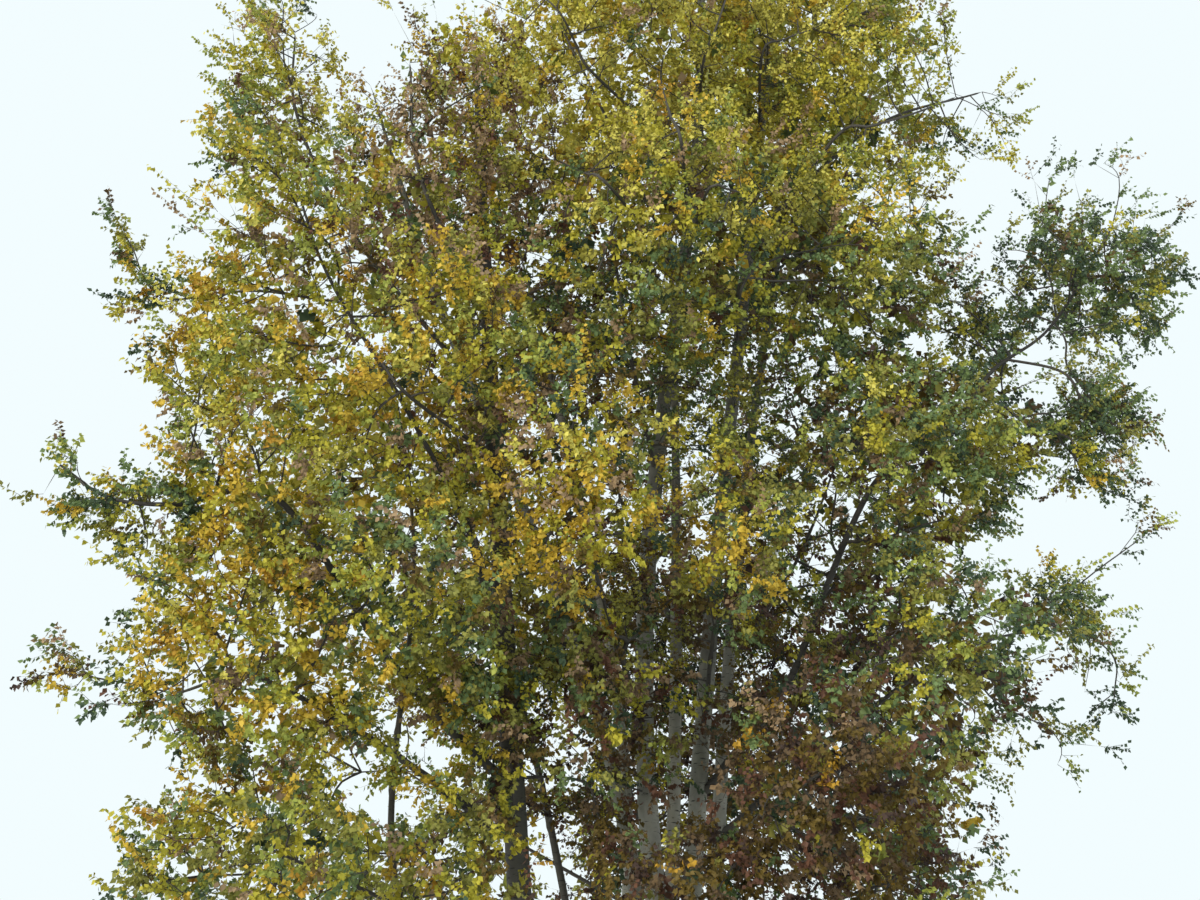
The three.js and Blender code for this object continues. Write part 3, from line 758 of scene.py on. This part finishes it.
# Parts of the crown: the mix of tints in each, in the order of the tints, and the places that
# draw from it, as the middle and the reach of each in the photograph's pixels. The mixes hold the
# leaves' own autumn colours, and painted light and shade as well: the top and the dome draw most of
# the sunlit tint, as painted sunlight, and the right, the right arm, the low right arm, the low
# brown part, the low right and the shade part draw darker tints, as painted shade.
ZONES = {
    "left": ((8, 19, 4, 36, 17, 6, 9, 4, 1, 1, 0, 0, 2), [(230, 450, 150), (230, 250, 120), (400, 400, 110)]),
    "dome": ((26, 6, 1, 24, 27, 11, 6, 6, 0, 1, 1, 0, 0), [(290, 120, 120)]),
    "low left": ((4, 26, 6, 34, 14, 5, 9, 4, 0, 2, 0, 0, 2), [(230, 700, 160)]),
    "bottom left": ((1, 9, 2, 28, 24, 3, 20, 12, 2, 1, 0, 0, 2), [(260, 880, 120), (450, 860, 110)]),
    "brown": ((9, 8, 3, 18, 6, 36, 12, 4, 0, 6, 6, 0, 2), [(460, 180, 120), (440, 60, 70), (520, 455, 46)]),
    "centre": (
        (2, 5, 0, 15, 14, 5, 28, 20, 8, 3, 0, 0, 4),
        [(440, 620, 110), (640, 300, 120), (800, 480, 90)],
    ),
    "gold": ((4, 48, 10, 24, 3, 6, 4, 0, 0, 1, 0, 0, 1), [(577, 530, 72), (580, 375, 50), (735, 563, 36)]),
    "top": ((52, 14, 1, 21, 8, 4, 3, 0, 0, 0, 0, 0, 0), [(680, 60, 170), (690, -160, 220)]),
    "top right": ((14, 5, 0, 30, 24, 3, 20, 8, 1, 0, 0, 0, 2), [(860, 120, 150)]),
    "right": ((1, 0, 0, 12, 16, 2, 42, 25, 3, 1, 0, 0, 3), [(860, 330, 150), (900, 560, 140)]),
    "right arm": ((0, 0, 0, 1, 4, 0, 21, 48, 26, 1, 0, 0, 2), [(1090, 280, 150)]),
    "low right arm": ((0, 0, 0, 0, 1, 0, 13, 33, 52, 1, 0, 0, 2), [(1100, 560, 150)]),
    "purple": ((0, 0, 2, 1, 0, 6, 4, 0, 2, 24, 22, 20, 26), [(830, 680, 80)]),
    "low brown": (
        (0, 0, 2, 2, 0, 2, 5, 1, 2, 27, 13, 13, 48),
        [(760, 760, 70), (870, 770, 60), (800, 870, 110), (640, 860, 110)],
    ),
    "low right": ((0, 0, 0, 5, 9, 1, 34, 26, 14, 4, 1, 0, 10), [(945, 865, 60), (960, 720, 80)]),
    "shade": ((0, 1, 1, 7, 2, 4, 22, 6, 11, 18, 9, 5, 19), [(680, 700, 110), (560, 740, 80)]),
}
SHADE_MIX, _ = ZONES["shade"]
EDGE_MIX = (0, 1, 0, 6, 8, 6, 27, 24, 18, 6, 1, 1, 5)
ZONE_FALLOFF = 1.5
LEAST_SHARE = 1e-9
DEEP_SHADE = 0.8
THIN_EDGE = 1.4
EDGE_SHARE = 0.6
DRIFT_GRAIN = 1.1
FINE_DRIFT_GRAIN = 2.9
FINE_DRIFT = 0.6
CLUMPING = 0.38

# Deep shade starts at this pixel of the photograph, across and down, and is full this many pixels
# further right and down
SHADE_FROM = (400, 150)
SHADE_REACH = (150, 200)


# Crown

def inside_mass(node):
    """Jittered points inside one mass of foliage."""
    points, corners = mesh_arrays(node)
    tree = BVHTree.FromPolygons(points.tolist(), corners.tolist())
    low, high = points.min(axis=0), points.max(axis=0)
    axes = [np.arange(low[k], high[k], CANDIDATE_PITCH) for k in range(3)]
    grid = np.stack(np.meshgrid(*axes, indexing="ij"), axis=-1).reshape(-1, 3)
    grid = grid + random.uniform(0, CANDIDATE_PITCH, grid.shape)
    kept = []
    for point in grid:
        location, normal, _, _ = tree.find_nearest(Vector(point))
        if (location - Vector(point)).dot(normal) > 0:
            kept.append(point)
    return np.array(kept)


def spread(grid, grow_outward):
    """The grid of cells with one more layer, or one layer less, on all six sides."""
    result = grid.copy()
    combine = np.logical_or if grow_outward else np.logical_and
    for axis in range(3):
        for step in (1, -1):
            result = combine(result, np.roll(grid, step, axis=axis))
    return result


def crown_depth(points):
    """How deep each point lies in the crown taken as one closed body, in metres. Gives too the
    points that fill the gaps between the masses at the back, and their depths."""
    margin = CLOSING_STEPS + 2
    low = points.min(axis=0)
    cells = ((points - low) / VOXEL).astype(int) + margin
    grid = np.zeros(cells.max(axis=0) + margin + 1, dtype=bool)
    grid[tuple(cells.T)] = True
    masses = grid.copy()
    for _ in range(CLOSING_STEPS):
        grid = spread(grid, True)
    for _ in range(CLOSING_STEPS):
        grid = spread(grid, False)
    gap_cells = np.repeat(np.argwhere(grid & ~masses), 2, axis=0)
    gaps = low + (gap_cells - margin + random.random(gap_cells.shape)) * VOXEL
    behind = gaps[:, 1] > GAPS_BEHIND
    depth = np.zeros(grid.shape)
    while grid.any():
        depth += grid * VOXEL
        grid = spread(grid, False)
    return depth[tuple(cells.T)], gaps[behind], depth[tuple(gap_cells[behind].T)]


def amount_within(pixels, places):
    """The greatest amount that the places give at each pixel. Each is an ellipse with its amount,
    which fades to nothing across the rim."""
    most = np.zeros(len(pixels))
    for across, down, half_width, half_height, amount in places:
        distance = np.hypot((pixels[:, 0] - across) / half_width, (pixels[:, 1] - down) / half_height)
        most = np.maximum(most, amount * np.clip(RIM_END - distance, 0, RIM_WIDTH) / RIM_WIDTH)
    return most


def open_share(points):
    """The share of sprays to leave out at each point, from the openings in the crown."""
    places = [opening for group in OPENINGS.values() for opening in group]
    return amount_within(photo_pixels(points), places)


def closeness(points):
    """How many times as many sprays grow at each point as elsewhere."""
    places = [(*ellipse, times - 1) for group in CLOSER.values() for *ellipse, times in group]
    return 1 + amount_within(photo_pixels(points), places)


def nearness(points, candidates):
    """How far each point lies behind the crown's near face as the camera sees it, and how thick
    the crown is there, in metres."""
    both = [np.floor(photo_pixels(group) / CELL_PIXELS).astype(int) for group in (candidates, points)]
    low = np.minimum(both[0].min(axis=0), both[1].min(axis=0))
    high = np.maximum(both[0].max(axis=0), both[1].max(axis=0))
    nearest = np.full(high - low + 1, np.inf)
    furthest = np.zeros(high - low + 1)
    cells = tuple((both[0] - low).T)
    away = np.linalg.norm(candidates - CAMERA_AT, axis=1)
    np.minimum.at(nearest, cells, away)
    np.maximum.at(furthest, cells, away)
    here = tuple((both[1] - low).T)
    behind = np.linalg.norm(points - CAMERA_AT, axis=1) - nearest[here]
    return behind, furthest[here] - nearest[here]


def extra_sprays():
    """The points of the shoots in the two lists of extra ones."""
    groups = []
    for place_name in EXTRA_SPRAYS:
        for across, down, half_width, half_height, least, most, number in EXTRA_SPRAYS[place_name]:
            angle = random.uniform(0, 2 * math.pi, number)
            out = np.sqrt(random.random(number))
            groups.append(on_sight_line(
                across + half_width * out * np.cos(angle), down + half_height * out * np.sin(angle),
                y=random.uniform(least, most, number),
            ))
    for stem, least, most, number in STEM_SHOOTS:
        line, _ = stem_lines[stem]
        heights = random.uniform(least, most, number)
        on_stem = np.column_stack([np.interp(heights, line[:, 2], line[:, k]) for k in range(3)])
        before = unit(CAMERA_AT - on_stem) * random.uniform(*STEM_SHOOT_BEFORE, (number, 1))
        groups.append(on_stem + before + random.normal(0, STEM_SHOOT_ASIDE, (number, 3)))
    return np.vstack(groups)


def pick_sprays(candidates, candidate_depth):
    """Which candidate points carry sprays."""
    behind, thickness = nearness(candidates, candidates)
    near = (behind < NEAR_LAYER) | (thickness < THIN_CROWN)
    weight = np.where(candidate_depth <= SHELL_DEPTH, 1.0, INNER_SHARE)
    weight = weight * np.where(near, NEAR_SHARE, 1.0)
    weight = weight * (1 - open_share(candidates)) ** np.where(near, 1, 2)
    weight = weight * closeness(candidates) + LEAST_WEIGHT
    order = np.argsort(-np.log(random.random(len(candidates))) / weight)
    return np.sort(order[:SPRAY_COUNT])


def grow(seeds, targets):
    """Joins the targets to the seeds, nearest first, where nearness counts the way back along
    the limbs and a drop below the point of leaving. Gives each target's parent and the order."""
    count = len(targets)
    best = np.full(count, np.inf)
    parent = np.zeros(count, dtype=int)
    for start in range(0, count, GROW_BATCH):
        batch = slice(start, start + GROW_BATCH)
        part = targets[batch]
        away = np.linalg.norm(part[:, None] - seeds[None], axis=2)
        cost = away + DROP_WEIGHT * np.maximum(seeds[None, :, 2] - part[:, None, 2], 0)
        parent[batch] = cost.argmin(axis=1)
        best[batch] = cost.min(axis=1)
    path = np.zeros(count)
    waiting = np.ones(count, dtype=bool)
    order = []
    for _ in range(count):
        j = int(np.argmin(np.where(waiting, best, np.inf)))
        waiting[j] = False
        order.append(j)
        where = parent[j]
        origin = seeds[where] if where < len(seeds) else targets[where - len(seeds)]
        behind = 0.0 if where < len(seeds) else path[where - len(seeds)]
        path[j] = behind + np.linalg.norm(targets[j] - origin)
        away = np.sqrt(((targets - targets[j]) ** 2).sum(axis=1))
        cost = away + PATH_WEIGHT * path[j] + DROP_WEIGHT * np.maximum(targets[j, 2] - targets[:, 2], 0)
        better = waiting & (cost < best)
        best[better] = cost[better]
        parent[better] = len(seeds) + j
    return parent, order


def limb_chains(seeds, seed_radius, targets, parent, order):
    """Follows the heaviest child from each fork. Gives the chains of point indices, with every
    point's radius, after evening out the kinks."""
    total = len(seeds)
    carried = np.ones(len(targets))
    for j in reversed(order):
        if parent[j] >= total:
            carried[parent[j] - total] += carried[j]
    heir = np.full(total + len(targets), -1)
    heaviest = np.zeros(total + len(targets))
    for j in order:
        if parent[j] >= total and carried[j] > heaviest[parent[j]]:
            heaviest[parent[j]] = carried[j]
            heir[parent[j]] = total + j
    points = np.vstack([seeds, targets])
    middle = np.array([total + j for j in order if heir[total + j] >= 0])
    for _ in range(SMOOTHING_STEPS):
        neighbours = 0.5 * (points[parent[middle - total]] + points[heir[middle]])
        points[middle] = 0.5 * points[middle] + 0.5 * neighbours
    radius = np.concatenate([seed_radius, TWIG_RADIUS * carried ** (1 / PIPE_POWER)])
    chains = []
    for j in order:
        start = parent[j]
        if start >= total and heir[start] == total + j:
            continue
        chain = [start, total + j]
        while heir[chain[-1]] >= 0:
            chain.append(heir[chain[-1]])
        chains.append(chain)
    return points, radius, chains


def tube_arrays(points, radii, sides):
    """Rings of one tube that ends in a point, as an array of points and one of triangles."""
    outward, _ = ring_directions(points, sides)
    rings = points[:-1, None] + outward[:-1] * radii[:-1, None, None]
    count = len(points) - 1
    faces, side, following = ring_faces(count, sides)
    last = (count - 1) * sides
    tip = np.full(sides, count * sides)
    faces = np.vstack([faces, np.column_stack([last + side, last + following, tip])])
    return np.vstack([rings.reshape(-1, 3), points[-1:]]), faces


def join_arrays(parts):
    """Many pairs of points and faces as one pair."""
    offset, points, faces = 0, [], []
    for part_points, part_faces in parts:
        points.append(part_points)
        faces.append(part_faces + offset)
        offset += len(part_points)
    return np.vstack(points), np.vstack(faces)


def chain_tubes(points, radius, chains, seed_count):
    """Thick limbs and thin twigs, as two lists of tubes."""
    limbs, twigs = [], []
    for chain in chains:
        line = points[chain]
        thick = radius[chain].copy()
        if chain[0] >= seed_count:
            thick[0] = thick[1]
        else:
            thick[0] = min(thick[1] * FORK_SWELL, FORK_SHARE * thick[0])
        thick = np.minimum(thick, max(thick[0], TWIG_RADIUS))
        fine = thick[0] > FINE_RADIUS or len(chain) < SHORT_CHAIN
        curve = spline(np.column_stack([line, thick]), 2 * len(chain) - 1 if fine else len(chain))
        sides = next(sides for limit, sides in TUBE_SIDES if thick[0] < limit)
        tube = tube_arrays(curve[:, :3], curve[:, 3], sides)
        (limbs if thick[0] >= LIMB_RADIUS else twigs).append(tube)
    return limbs, twigs


def random_units(count):
    return unit(random.normal(size=(count, 3)))


def past_limits(points):
    """Which points lie outside the box that the foliage stays in."""
    return ((points < LOW_LIMIT) | (points > HIGH_LIMIT)).any(axis=1)


def spray_shoots(points, parent, total, edge, near):
    """Foot, direction, length and spray number of the leafy shoots: each spray has one that leads
    on from its twig, and side shoots that leave this one. Some at the crown's edge are long."""
    targets = points[total:]
    count = len(targets)
    growth = unit(targets - points[parent])
    core = np.column_stack([
        np.interp(targets[:, 2], CORE_HEIGHTS, CORE_ACROSS),
        np.full(count, CORE_BEHIND),
        targets[:, 2] * CORE_RISE,
    ])
    outward = unit(targets - core)
    pull = LEAD_GROWTH * growth + LEAD_OUTWARD * outward
    lead = unit(pull + LEAD_CHANCE * random_units(count) + LEAD_UP)
    reach = random.uniform(*SHOOT_LENGTH, count)
    long_share = np.where(targets[:, 2] > LEADER_ABOVE, LEADER_SHARE, LONG_SHOOT_SHARE)
    long = edge & (random.random(count) < long_share)
    lead[long] = unit(outward + LONG_CHANCE * random_units(count) + LONG_UP)[long]
    reach[long] = random.uniform(*LONG_SHOOT_LENGTH, count)[long]
    reach[past_limits(targets + lead * reach[:, None])] = SHORTENED_SHOOT
    feet, directions, lengths, numbers = [targets], [lead], [reach], [np.arange(count)]
    for side_shoot in range(NEAR_SIDE_SHOOTS):
        some = np.flatnonzero(near | (side_shoot < SIDE_SHOOTS))
        ahead = lead[some]
        aside = unit(np.cross(ahead, random_units(len(some))))
        along = reach[some] * random.uniform(*SIDE_SHOOT_SPAN, len(some))
        feet.append(targets[some] + ahead * along[:, None])
        directions.append(unit(SIDE_AHEAD * ahead + SIDE_ASIDE * aside))
        lengths.append(random.uniform(*SIDE_SHOOT_LENGTH, len(some)))
        numbers.append(some)
    feet, directions, lengths = np.vstack(feet), np.vstack(directions), np.concatenate(lengths)
    lengths[past_limits(feet + directions * lengths[:, None])] = SHORTENED_SHOOT
    return feet, directions, lengths, np.concatenate(numbers)


def shoot_arrays(foot, direction, length, leads):
    """A thin three-sided spike for each shoot that leads, and two sides of one for each other."""
    side = unit(np.cross(direction, random_units(len(foot))))
    other = np.cross(direction, side)
    width = TWIG_RADIUS * SHOOT_THICKNESS
    corners = [foot + width * (side * math.cos(a) + other * math.sin(a)) for a in SPIKE_TURNS]
    points = np.stack([*corners, foot + direction * length[:, None]], axis=1)
    starts = points.shape[1] * np.arange(len(foot))[:, None, None]
    faces = [
        (np.array(spike)[None] + starts[chosen]).reshape(-1, 3)
        for spike, chosen in (
            ([(0, 1, 3), (1, 2, 3), (2, 0, 3)], slice(0, leads)),
            ([(0, 1, 3), (1, 2, 3)], slice(leads, None)),
        )
    ]
    return points.reshape(-1, 3), np.vstack(faces)


def leaf_arrays(foot, direction, length, counts, size):
    """Leaves along each shoot, each blade folded a little along its midrib. Gives the points of
    each leaf and its shoot."""
    shoot = np.repeat(np.arange(len(foot)), counts)
    total = len(shoot)
    number = np.arange(total) - np.repeat(np.cumsum(counts) - counts, counts)
    share = FIRST_LEAF + (1 - FIRST_LEAF) * (number + random.uniform(*LEAF_STEP, total)) / counts[shoot]
    ahead = direction[shoot]
    base = foot[shoot] + ahead * (length[shoot] * share)[:, None]
    side = unit(np.cross(ahead, ODD_AXIS))
    other = np.cross(ahead, side)
    angle = number * GOLDEN_ANGLE + random.uniform(-LEAF_TURN, LEAF_TURN, total)
    radial = side * np.cos(angle)[:, None] + other * np.sin(angle)[:, None]
    pull = LEAF_ASIDE * radial + LEAF_AHEAD * ahead
    axis = unit(pull + LEAF_CHANCE * random_units(total) + LEAF_DROOP)
    across = unit(np.cross(axis, random_units(total)))
    normal = np.cross(axis, across)
    scale = (size * random.uniform(*LEAF_SPREAD, total))[:, None]
    fold = random.uniform(*LEAF_FOLD, (total, 1))
    corners = [
        base + scale * (along * axis + out * across + abs(out) * fold * normal)
        for along, out in LEAF_OUTLINE
    ]
    return np.stack(corners, axis=1), shoot


def spray_tints(points, deep, thin):
    """The tint of each spray: a draw from the mixes of the zones round it, in which sprays that
    lie near each other tend to draw alike. Those deep in the shaded side draw darker tints, and
    those where the crown is thin draw duller ones."""
    pixels = photo_pixels(points)
    mixes = np.zeros((len(points), len(TINTS)))
    for mix, places in ZONES.values():
        for across, down, reach in places:
            distance = np.hypot(pixels[:, 0] - across, pixels[:, 1] - down) / reach
            share = np.exp(-ZONE_FALLOFF * distance ** 2) + LEAST_SHARE
            mixes += share[:, None] * np.array(mix)[None] / sum(mix)
    mixes /= mixes.sum(axis=1, keepdims=True)
    shade = deep * DEEP_SHADE * np.clip((pixels - SHADE_FROM) / SHADE_REACH, 0, 1).prod(axis=1)
    for part, mix in ((shade, SHADE_MIX), (thin * EDGE_SHARE, EDGE_MIX)):
        mixes = mixes * (1 - part[:, None]) + part[:, None] * np.array(mix)[None] / sum(mix)
    edges = np.cumsum(mixes, axis=1)
    drift = np.array([
        noise.noise(Vector(p * DRIFT_GRAIN)) + FINE_DRIFT * noise.noise(Vector(p * FINE_DRIFT_GRAIN))
        for p in points
    ])
    drift /= drift.std()
    draw = CLUMPING * drift + math.sqrt(1 - CLUMPING ** 2) * random.normal(size=len(points))
    level = 0.5 * (1 + np.array([math.erf(x / math.sqrt(2)) for x in draw]))
    return (level[:, None] > edges).sum(axis=1).clip(0, len(TINTS) - 1)


def split_parts(parts):
    """Groups of parts that each stay under the limit on triangles."""
    groups, count = [[]], 0
    for part in parts:
        if count + len(part[1]) > PIECE_TRIANGLES:
            groups.append([])
            count = 0
        groups[-1].append(part)
        count += len(part[1])
    return groups


def stem_point(stem, height):
    """The point at this height on the middle line of a stem."""
    on_stem = spline(stem_lines[stem][0], FINE_SEARCH)
    return on_stem[np.abs(on_stem[:, 2] - height).argmin()]


def add_upper_limb(root, ends, thick, thin, sides):
    """Grows a limb from its root on a stem through the points given, from the one thickness down
    to the other radius, and lets twigs leave it."""
    full = np.vstack([root, ends])
    curve, thickness = even_curve(full, np.linspace(thick / 2, thin, len(full)), LIMB_STEP)
    upper_limbs.append(tube_arrays(curve, thickness, sides))
    seed_points.append(curve[FIRST_SEED:])
    seed_radii.append(thickness[FIRST_SEED:])


# Stems, from the ground up, with the flare of the foot
stem_lines = {}
for name in STEM_NAMES:
    line, radius = stem_line(name)
    slope = (line[1] - line[0]) / (line[1, 2] - line[0, 2])
    feet = np.arange(0.0, line[0, 2] - FOOT_GAP, FOOT_STEP)
    foot_line = line[0] + (feet - line[0, 2])[:, None] * slope
    foot_radius = radius[0] * (1 + FLARE * (1 - feet / line[0, 2]) ** FLARE_POWER)
    stem_lines[name] = (np.vstack([foot_line, line]), np.concatenate([foot_radius, radius]))

for name, (line, radius) in stem_lines.items():
    curve, thickness = even_curve(line, radius, STEM_STEP)
    keep = np.unique(np.concatenate([
        np.arange(0, min(len(curve), CLOSE_RINGS)), np.arange(CLOSE_RINGS, len(curve), 2), [len(curve) - 1],
    ]))
    sides = BARK_SIDES if radius.max() > SLIM_STEM else SLIM_SIDES
    material = BARK_DARK_AND_SHADED if name in DARK_STEMS else BARK_PALE
    item = bark_tube(name + "_bark", curve[keep], thickness[keep], sides, material, STEM_SCAR_SPACING)
    place(item, [name])

# Root collar: the solid's own shape, remeshed finely and roughened. The ridges between the stems
# lie low, as surface roots do.
collar_points, collar_faces = mesh_arrays("root_collar")
collar = new_object("root_collar_bark", collar_points, collar_faces, BARK_ROOT)
remesh = collar.modifiers.new("fine", "REMESH")
remesh.mode = "VOXEL"
remesh.voxel_size = COLLAR_VOXEL
bpy.context.view_layer.update()
fine_mesh = bpy.data.meshes.new_from_object(collar.evaluated_get(bpy.context.evaluated_depsgraph_get()))
collar.modifiers.clear()
collar.data = fine_mesh
collar.data.materials.clear()
collar.data.materials.append(BARK_ROOT)
stem_feet = np.array([line[0, :2] for line, _ in stem_lines.values()])
foot_radii = np.array([radius[0] for _, radius in stem_lines.values()])
for vertex in collar.data.vertices:
    swelling = COLLAR_SWELL * noise.noise(vertex.co * COLLAR_SWELL_GRAIN)
    ridge = COLLAR_RIDGE * abs(noise.noise(vertex.co * COLLAR_RIDGE_GRAIN))
    vertex.co += vertex.normal * (swelling - ridge)
    away = (np.hypot(*(stem_feet - vertex.co[:2]).T) - foot_radii).min()
    vertex.co.z *= 1 - ROOT_SINK * min(max(away / ROOT_REACH, 0.0), 1.0)
    vertex.co.z = max(vertex.co.z, 0.0)
collar.data.shade_smooth()
place(collar, ["root_collar"])

# Boughs with the limbs that carry on from them, and the limbs that leave the stems high up
seed_points, seed_radii = [], []
for line, radius in stem_lines.values():
    curve, thickness = even_curve(line, radius, SEED_STEP)
    seed_points.append(curve[curve[:, 2] > LOWEST_TWIG])
    seed_radii.append(thickness[curve[:, 2] > LOWEST_TWIG])
for name in BOUGH_NAMES:
    line, radius = bough_line(name)
    stem = min(
        (stem_lines[s][0] for s in STEM_NAMES),
        key=lambda other: np.linalg.norm(spline(other, COARSE_SEARCH) - line[0], axis=1).min(),
    )
    on_stem = spline(stem, FINE_SEARCH)
    root = on_stem[np.linalg.norm(on_stem - line[0] + BOUGH_RISE, axis=1).argmin()]
    ends = GUIDES.get(name, [])
    full = np.vstack([root, line, *ends])
    ending = np.linspace(radius[-1], LIMB_END, len(ends) + 1)[1:]
    thickness = np.concatenate([[radius[0] * BOUGH_SWELL], radius, ending])
    curve, thickness = even_curve(full, thickness, BOUGH_STEP)
    # The boughs take the dark bark, which is darkened as painted shade
    item = bark_tube(name + "_bark", curve, thickness, SLIM_SIDES, BARK_DARK_AND_SHADED, BOUGH_SCAR_SPACING)
    place(item, [name])
    seed_points.append(curve[FIRST_BOUGH_SEED:])
    seed_radii.append(thickness[FIRST_BOUGH_SEED:])

upper_limbs = []
for stem, height, thick, ends in UPPER_LIMBS:
    add_upper_limb(stem_point(stem, height), ends, thick, LIMB_END, UPPER_SIDES)

# Crown: where sprays may grow, and the limbs that show on its near face
groups = [inside_mass(name) for name in MASS_NAMES]
candidates = np.vstack(groups)
candidate_owner = np.repeat(np.arange(len(groups)), [len(group) for group in groups])
candidate_depth, gaps, gap_depth = crown_depth(candidates)
gap_owner = [np.linalg.norm(candidates[::GAP_STRIDE] - gap, axis=1).argmin() for gap in gaps]
candidate_owner = np.concatenate([candidate_owner, candidate_owner[::GAP_STRIDE][gap_owner]])
candidates = np.vstack([candidates, gaps])
candidate_depth = np.concatenate([candidate_depth, gap_depth])

for stem, height, thick, pixels in SHOWN_LIMBS.values():
    root = stem_point(stem, height)
    across, down = np.array(pixels, dtype=float).T
    distance = np.full(len(pixels), np.linalg.norm(root - CAMERA_AT))
    behind, _ = nearness(on_sight_line(across, down, distance), candidates)
    forward = np.where(np.isfinite(behind), behind, 0)
    ends = on_sight_line(across, down, distance - forward + SHOWN_SINK)
    add_upper_limb(root, ends, thick, LIMB_END * SHOWN_TAPER, SHOWN_SIDES)

seeds = np.vstack(seed_points)
seed_radius = np.concatenate(seed_radii)

# Sprays, and the limbs and twigs that reach them
chosen = pick_sprays(candidates, candidate_depth)
extras = extra_sprays()
targets = np.vstack([candidates[chosen], extras])
beside = [np.linalg.norm(candidates[chosen] - extra, axis=1).argmin() for extra in extras]
owner = np.concatenate([candidate_owner[chosen], candidate_owner[chosen][beside]])
depth = np.concatenate([candidate_depth[chosen], np.zeros(len(extras))])
edge = np.concatenate([candidate_depth[chosen] <= EDGE_DEPTH, np.zeros(len(extras), dtype=bool)])
behind, thickness = nearness(targets, candidates)
near = (behind < NEAR_LAYER) | (thickness < THIN_CROWN)
near[len(chosen):] = True
parent, order = grow(seeds, targets)
points, radius, chains = limb_chains(seeds, seed_radius, targets, parent, order)
limbs, twigs = chain_tubes(points, radius, chains, len(seeds))
foot, direction, length, spray_of = spray_shoots(points, parent, len(seeds), edge, near)
twigs.append(shoot_arrays(foot, direction, length, len(targets)))

for name, tubes in (("upper_limbs", upper_limbs), ("crown_limbs", limbs)):
    item = new_object(name, *join_arrays(tubes), LIMB_BARK)
    item.data.shade_smooth()
    place(item, MASS_NAMES)

for number, group in enumerate(split_parts(twigs)):
    item = new_object(f"twigs_{number + 1}", *join_arrays(group), TWIG_BARK)
    place(item, MASS_NAMES)

# Leaves, by kind and tint
tints = spray_tints(points[len(seeds):], ~near, thickness < THIN_EDGE)
shoot_near = near[spray_of]
shoot_inner = ~shoot_near & (depth[spray_of] > SHELL_DEPTH)
shoot_front = shoot_near & (foot[:, 1] < FRONT_BEFORE) & (foot[:, 2] < FRONT_BELOW)
wanted = {
    "front": shoot_front,
    "near": shoot_near & ~shoot_front,
    "shell": ~shoot_near & ~shoot_inner,
    "inner": shoot_inner,
}
share = length / length.mean() * (1 - (1 - LEAVES_KEPT) * open_share(foot))
leaf_sets = []
for label, kind in LEAF_KINDS.items():
    shoots = np.flatnonzero(wanted[label])
    counts = random.poisson(kind["each"] * share[shoots])
    leaf_points, leaf_shoot = leaf_arrays(
        foot[shoots], direction[shoots], length[shoots], counts, kind["size"],
    )
    fits = ((leaf_points > LOW_LIMIT) & (leaf_points < HIGH_LIMIT)).all(axis=(1, 2))
    leaf_sets.append((label, leaf_points[fits], tints[spray_of[shoots[leaf_shoot[fits]]]]))

mass_tint = [
    np.bincount(tints[owner == mass], minlength=len(TINTS)).argmax() for mass in range(len(MASS_NAMES))
]
for index, (tint, (slot, colour)) in enumerate(TINTS.items()):
    material = plain_material("leaf_" + tint, colour, LEAF_ROUGHNESS, LEAF_SHEEN)
    masses = [MASS_NAMES[m] for m, common in enumerate(mass_tint) if common == index]
    for label, leaf_points, leaf_tint in leaf_sets:
        chosen = leaf_points[leaf_tint == index]
        corner = np.arange(1, chosen.shape[1] - 1)
        leaf_faces = np.column_stack([np.zeros_like(corner), corner, corner + 1])
        per_piece = PIECE_TRIANGLES // len(leaf_faces)
        for part, start in enumerate(range(0, len(chosen), per_piece)):
            some = chosen[start:start + per_piece]
            starts = some.shape[1] * np.arange(len(some))[:, None, None]
            faces = (leaf_faces[None] + starts).reshape(-1, 3)
            item = new_object(f"leaves_{label}_{tint}_{part + 1}", some.reshape(-1, 3), faces, material)
            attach(item, "root")
            if masses:
                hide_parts(*masses)

# Floor, light and camera
bpy.ops.mesh.primitive_plane_add(size=FLOOR_SIZE)
floor = bpy.context.object
floor.name = "floor"
floor.data.materials.append(plain_material("floor", FLOOR_COLOUR, FLOOR_ROUGHNESS))

world = bpy.data.worlds.new("studio")
bpy.context.scene.world = world
world.use_nodes = True
nodes, links = world.node_tree.nodes, world.node_tree.links
fill = nodes["Background"]
fill.inputs["Color"].default_value = (*FILL_COLOUR, 1)
fill.inputs["Strength"].default_value = FILL_STRENGTH
backdrop = nodes.new("ShaderNodeBackground")
backdrop.inputs["Color"].default_value = (*BACKDROP_COLOUR, 1)
ray = nodes.new("ShaderNodeLightPath")
choose = nodes.new("ShaderNodeMixShader")
links.new(ray.outputs["Is Camera Ray"], choose.inputs["Fac"])
links.new(fill.outputs["Background"], choose.inputs[1])
links.new(backdrop.outputs["Background"], choose.inputs[2])
links.new(choose.outputs["Shader"], nodes["World Output"].inputs["Surface"])
bpy.context.scene.view_settings.view_transform = "Standard"

sun = bpy.data.lights.new("key", "SUN")
sun.energy = SUN_ENERGY
sun.angle = math.radians(SUN_SPREAD)
sun.color = SUN_COLOUR
sun_item = bpy.data.objects.new("key", sun)
sun_item.rotation_mode = "QUATERNION"
sun_item.rotation_quaternion = Vector(SUN_TOWARDS).to_track_quat("-Z", "Y")
bpy.context.scene.collection.objects.link(sun_item)

camera = bpy.data.cameras.new("camera")
camera.sensor_width = SENSOR_WIDTH
camera.lens = FOCAL_PIXELS / IMAGE_WIDTH * SENSOR_WIDTH
camera.clip_end = FURTHEST_SEEN
camera_item = bpy.data.objects.new("camera", camera)
camera_item.location = CAMERA_AT
camera_item.rotation_euler = (math.pi / 2 + CAMERA_PITCH, 0, 0)
bpy.context.scene.collection.objects.link(camera_item)
bpy.context.scene.camera = camera_item
